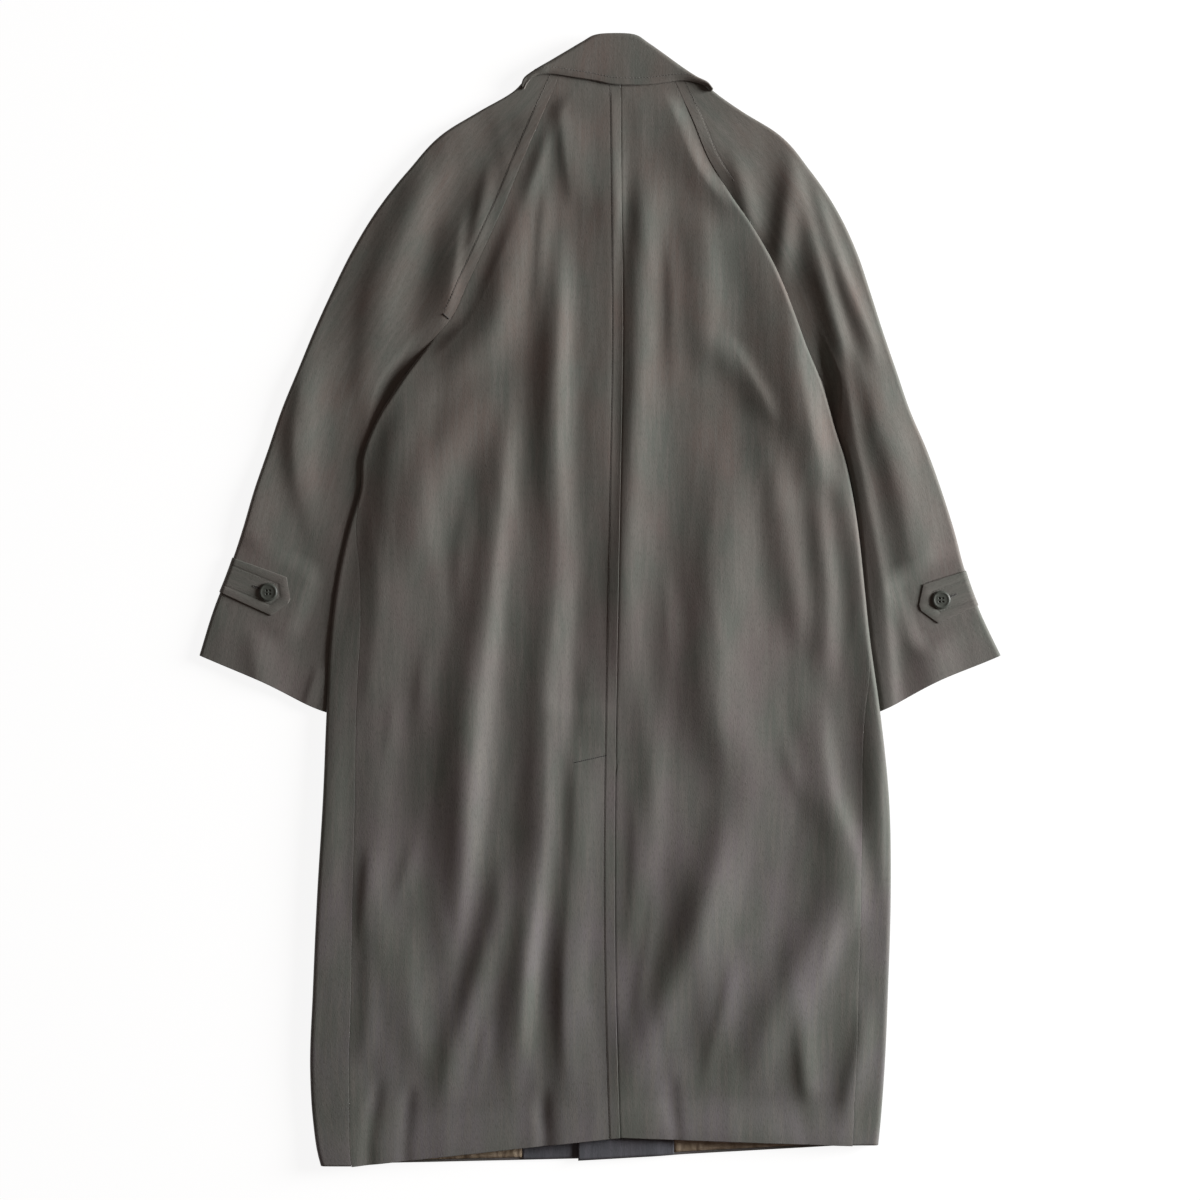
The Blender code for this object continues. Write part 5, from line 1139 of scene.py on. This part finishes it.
def add_light():
    """A large soft key light from the right, low over the cloth, and an even warm fill from the room."""
    key = bpy.data.objects.new("key_light", bpy.data.lights.new("key_light", "AREA"))
    key.data.shape = "DISK"
    key.data.size = KEY_SIZE
    key.data.energy = KEY_POWER
    key.location = Vector(KEY_FROM).normalized() * KEY_DISTANCE
    key.rotation_mode = "QUATERNION"
    key.rotation_quaternion = Vector(KEY_FROM).to_track_quat("Z", "Y")
    key.visible_camera = False
    bpy.context.scene.collection.objects.link(key)
    room = bpy.data.worlds.new("studio_room")
    room.use_nodes = True
    room.node_tree.nodes["Background"].inputs["Color"].default_value = linear(FILL_COLOUR)
    room.node_tree.nodes["Background"].inputs["Strength"].default_value = FILL_STRENGTH
    bpy.context.scene.world = room
    bpy.context.scene.view_settings.view_transform = "Standard"


def add_camera():
    """A camera straight above, as far off as its lens needs for the frame's width."""
    camera = bpy.data.objects.new("camera", bpy.data.cameras.new("camera"))
    camera.data.lens = LENS
    camera.data.sensor_width = SENSOR
    camera.location = (0.0, 0.0, (SUBJECT_LEVEL + FRAME_WIDTH * LENS / SENSOR) * MM)
    camera.data.clip_end = CAMERA_CLIP
    bpy.context.scene.collection.objects.link(camera)
    bpy.context.scene.camera = camera


def add_button(side, resin):
    """A cuff button in the place of its solid."""
    grid = button(side)
    rings, around = grid.shape[:2]
    corner = np.arange(rings * around).reshape(rings, around)
    beside = np.roll(corner, -1, axis=1)
    faces = np.stack((corner[:-1], corner[1:], beside[1:], beside[:-1]), axis=-1).reshape(-1, 4)
    made = add_mesh(f"button_{SIDE_NAME[side]}", grid.reshape(-1, 3), faces, resin)
    closed(made)
    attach(made, "root")
    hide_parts(f"cuff_button_{SIDE_NAME[side]}")


def main():
    add_camera()
    add_light()
    add_floor()
    gabardine = wool("grey_green_wool_gabardine", "#5b5e58", "#665d57", "#686466", "#6c6964", "#4d4b47")
    facing_wool = wool("dark_facing_wool", "#4f5258", "#54545a", "#54545a", "#62626a", "#3f4046")
    lining_satin = satin("brown_satin_lining", "#a99a86", "#867762")
    resin = moulded("dark_green_button_resin", "#3a3e39", "#464a44")
    thread = spun("grey_sewing_thread", "#5a5854", "#4b4a46")
    # Near-black thread for the vent's stay and the raglan bar, also used as the painted shade in the
    # buttonhole slits
    dark_thread_and_slit_shade = spun("dark_bar_thread_and_slit_shade", "#1f1d1c", "#292624")
    stitch_lines, cord_lines, slit_shade_lines = [], [], []
    for side in (LEFT, RIGHT):
        name = SIDE_NAME[side]
        front = f"front_{name}"
        dress(front, front_panel(side), gabardine, SHELL, False)
        back = back_panel(side)
        dress(f"back_{name}", back, gabardine, SHELL, plan=True)
        sleeve_below = f"sleeve_front_{name}"
        dress(sleeve_below, sleeve_front(side), gabardine, SHELL, False)
        sleeve = sleeve_back(side)
        dress(f"sleeve_back_{name}", sleeve, gabardine, SHELL)
        dress(f"cuff_tab_{name}", cuff_tab(side), gabardine, TAB_CLOTH)
        point = collar_point(side)
        dress(f"collar_point_{name}", point, gabardine, COLLAR_CLOTH, False)
        seam_x = FACING_EDGE_X[side]
        side_x = body_edge[side](SIDE_HEM_Y[side]) - side * FOLD_REACH
        lining_x = blend(FRONT_EDGE_X[side], side_x, LINING_EDGE_SHARE)
        facing = inside_piece(side, FRONT_EDGE_X[side], seam_x, FACING, FACING_ABOVE_HEM)
        dress(f"facing_{name}", facing, facing_wool, FACING)
        lining = inside_piece(side, seam_x + side * SEAM_GAP, lining_x, LINING, LINING_ABOVE_HEM)
        dress(f"lining_{name}", lining, lining_satin, LINING)
        add_button(side, resin)
        raglan = row_point(sleeve, STRIP_WIDTH)
        stitch_lines += [tab_stitch_line(side), raglan[sleeve[:, 0, 1] > RAGLAN_STITCHES_TO[side]]]
        cord_lines.append(buttonhole(side))
        slit_shade_lines.append(buttonhole_slit_shade_line(side))
        if side == LEFT:
            stitch_lines.append(row_point(back[:, ::-1], STRIP_WIDTH))
    dress("vent_underlap", vent_underlap(), gabardine, SHELL)
    fall = collar()
    dress("collar", fall, gabardine, COLLAR_CLOTH, turned=True)
    stitch_lines.append(row_point(fall, COLLAR_STITCH_IN)[COLLAR_STITCHES])
    add_stitches("seam_stitches", stitch_lines, thread)
    bars = [stay_line(), raglan_bar()]
    add_stitches("stay_stitches", bars, dark_thread_and_slit_shade, STAY_PITCH, STITCH_LENGTH, STAY_WIDTH)
    add_stitches("buttonhole_cord", cord_lines, thread, CORD_PITCH, CORD_LENGTH, CORD_WIDTH)
    # Painted shade: a near-black long ball in each buttonhole slit stands in for the dark of the slit
    slit_shade_pitch = BUTTONHOLE_TO - BUTTONHOLE_FROM
    add_stitches("buttonhole_slit_shade", slit_shade_lines, dark_thread_and_slit_shade, slit_shade_pitch, SLIT_SHADE_LENGTH, SLIT_SHADE_WIDTH)


main()
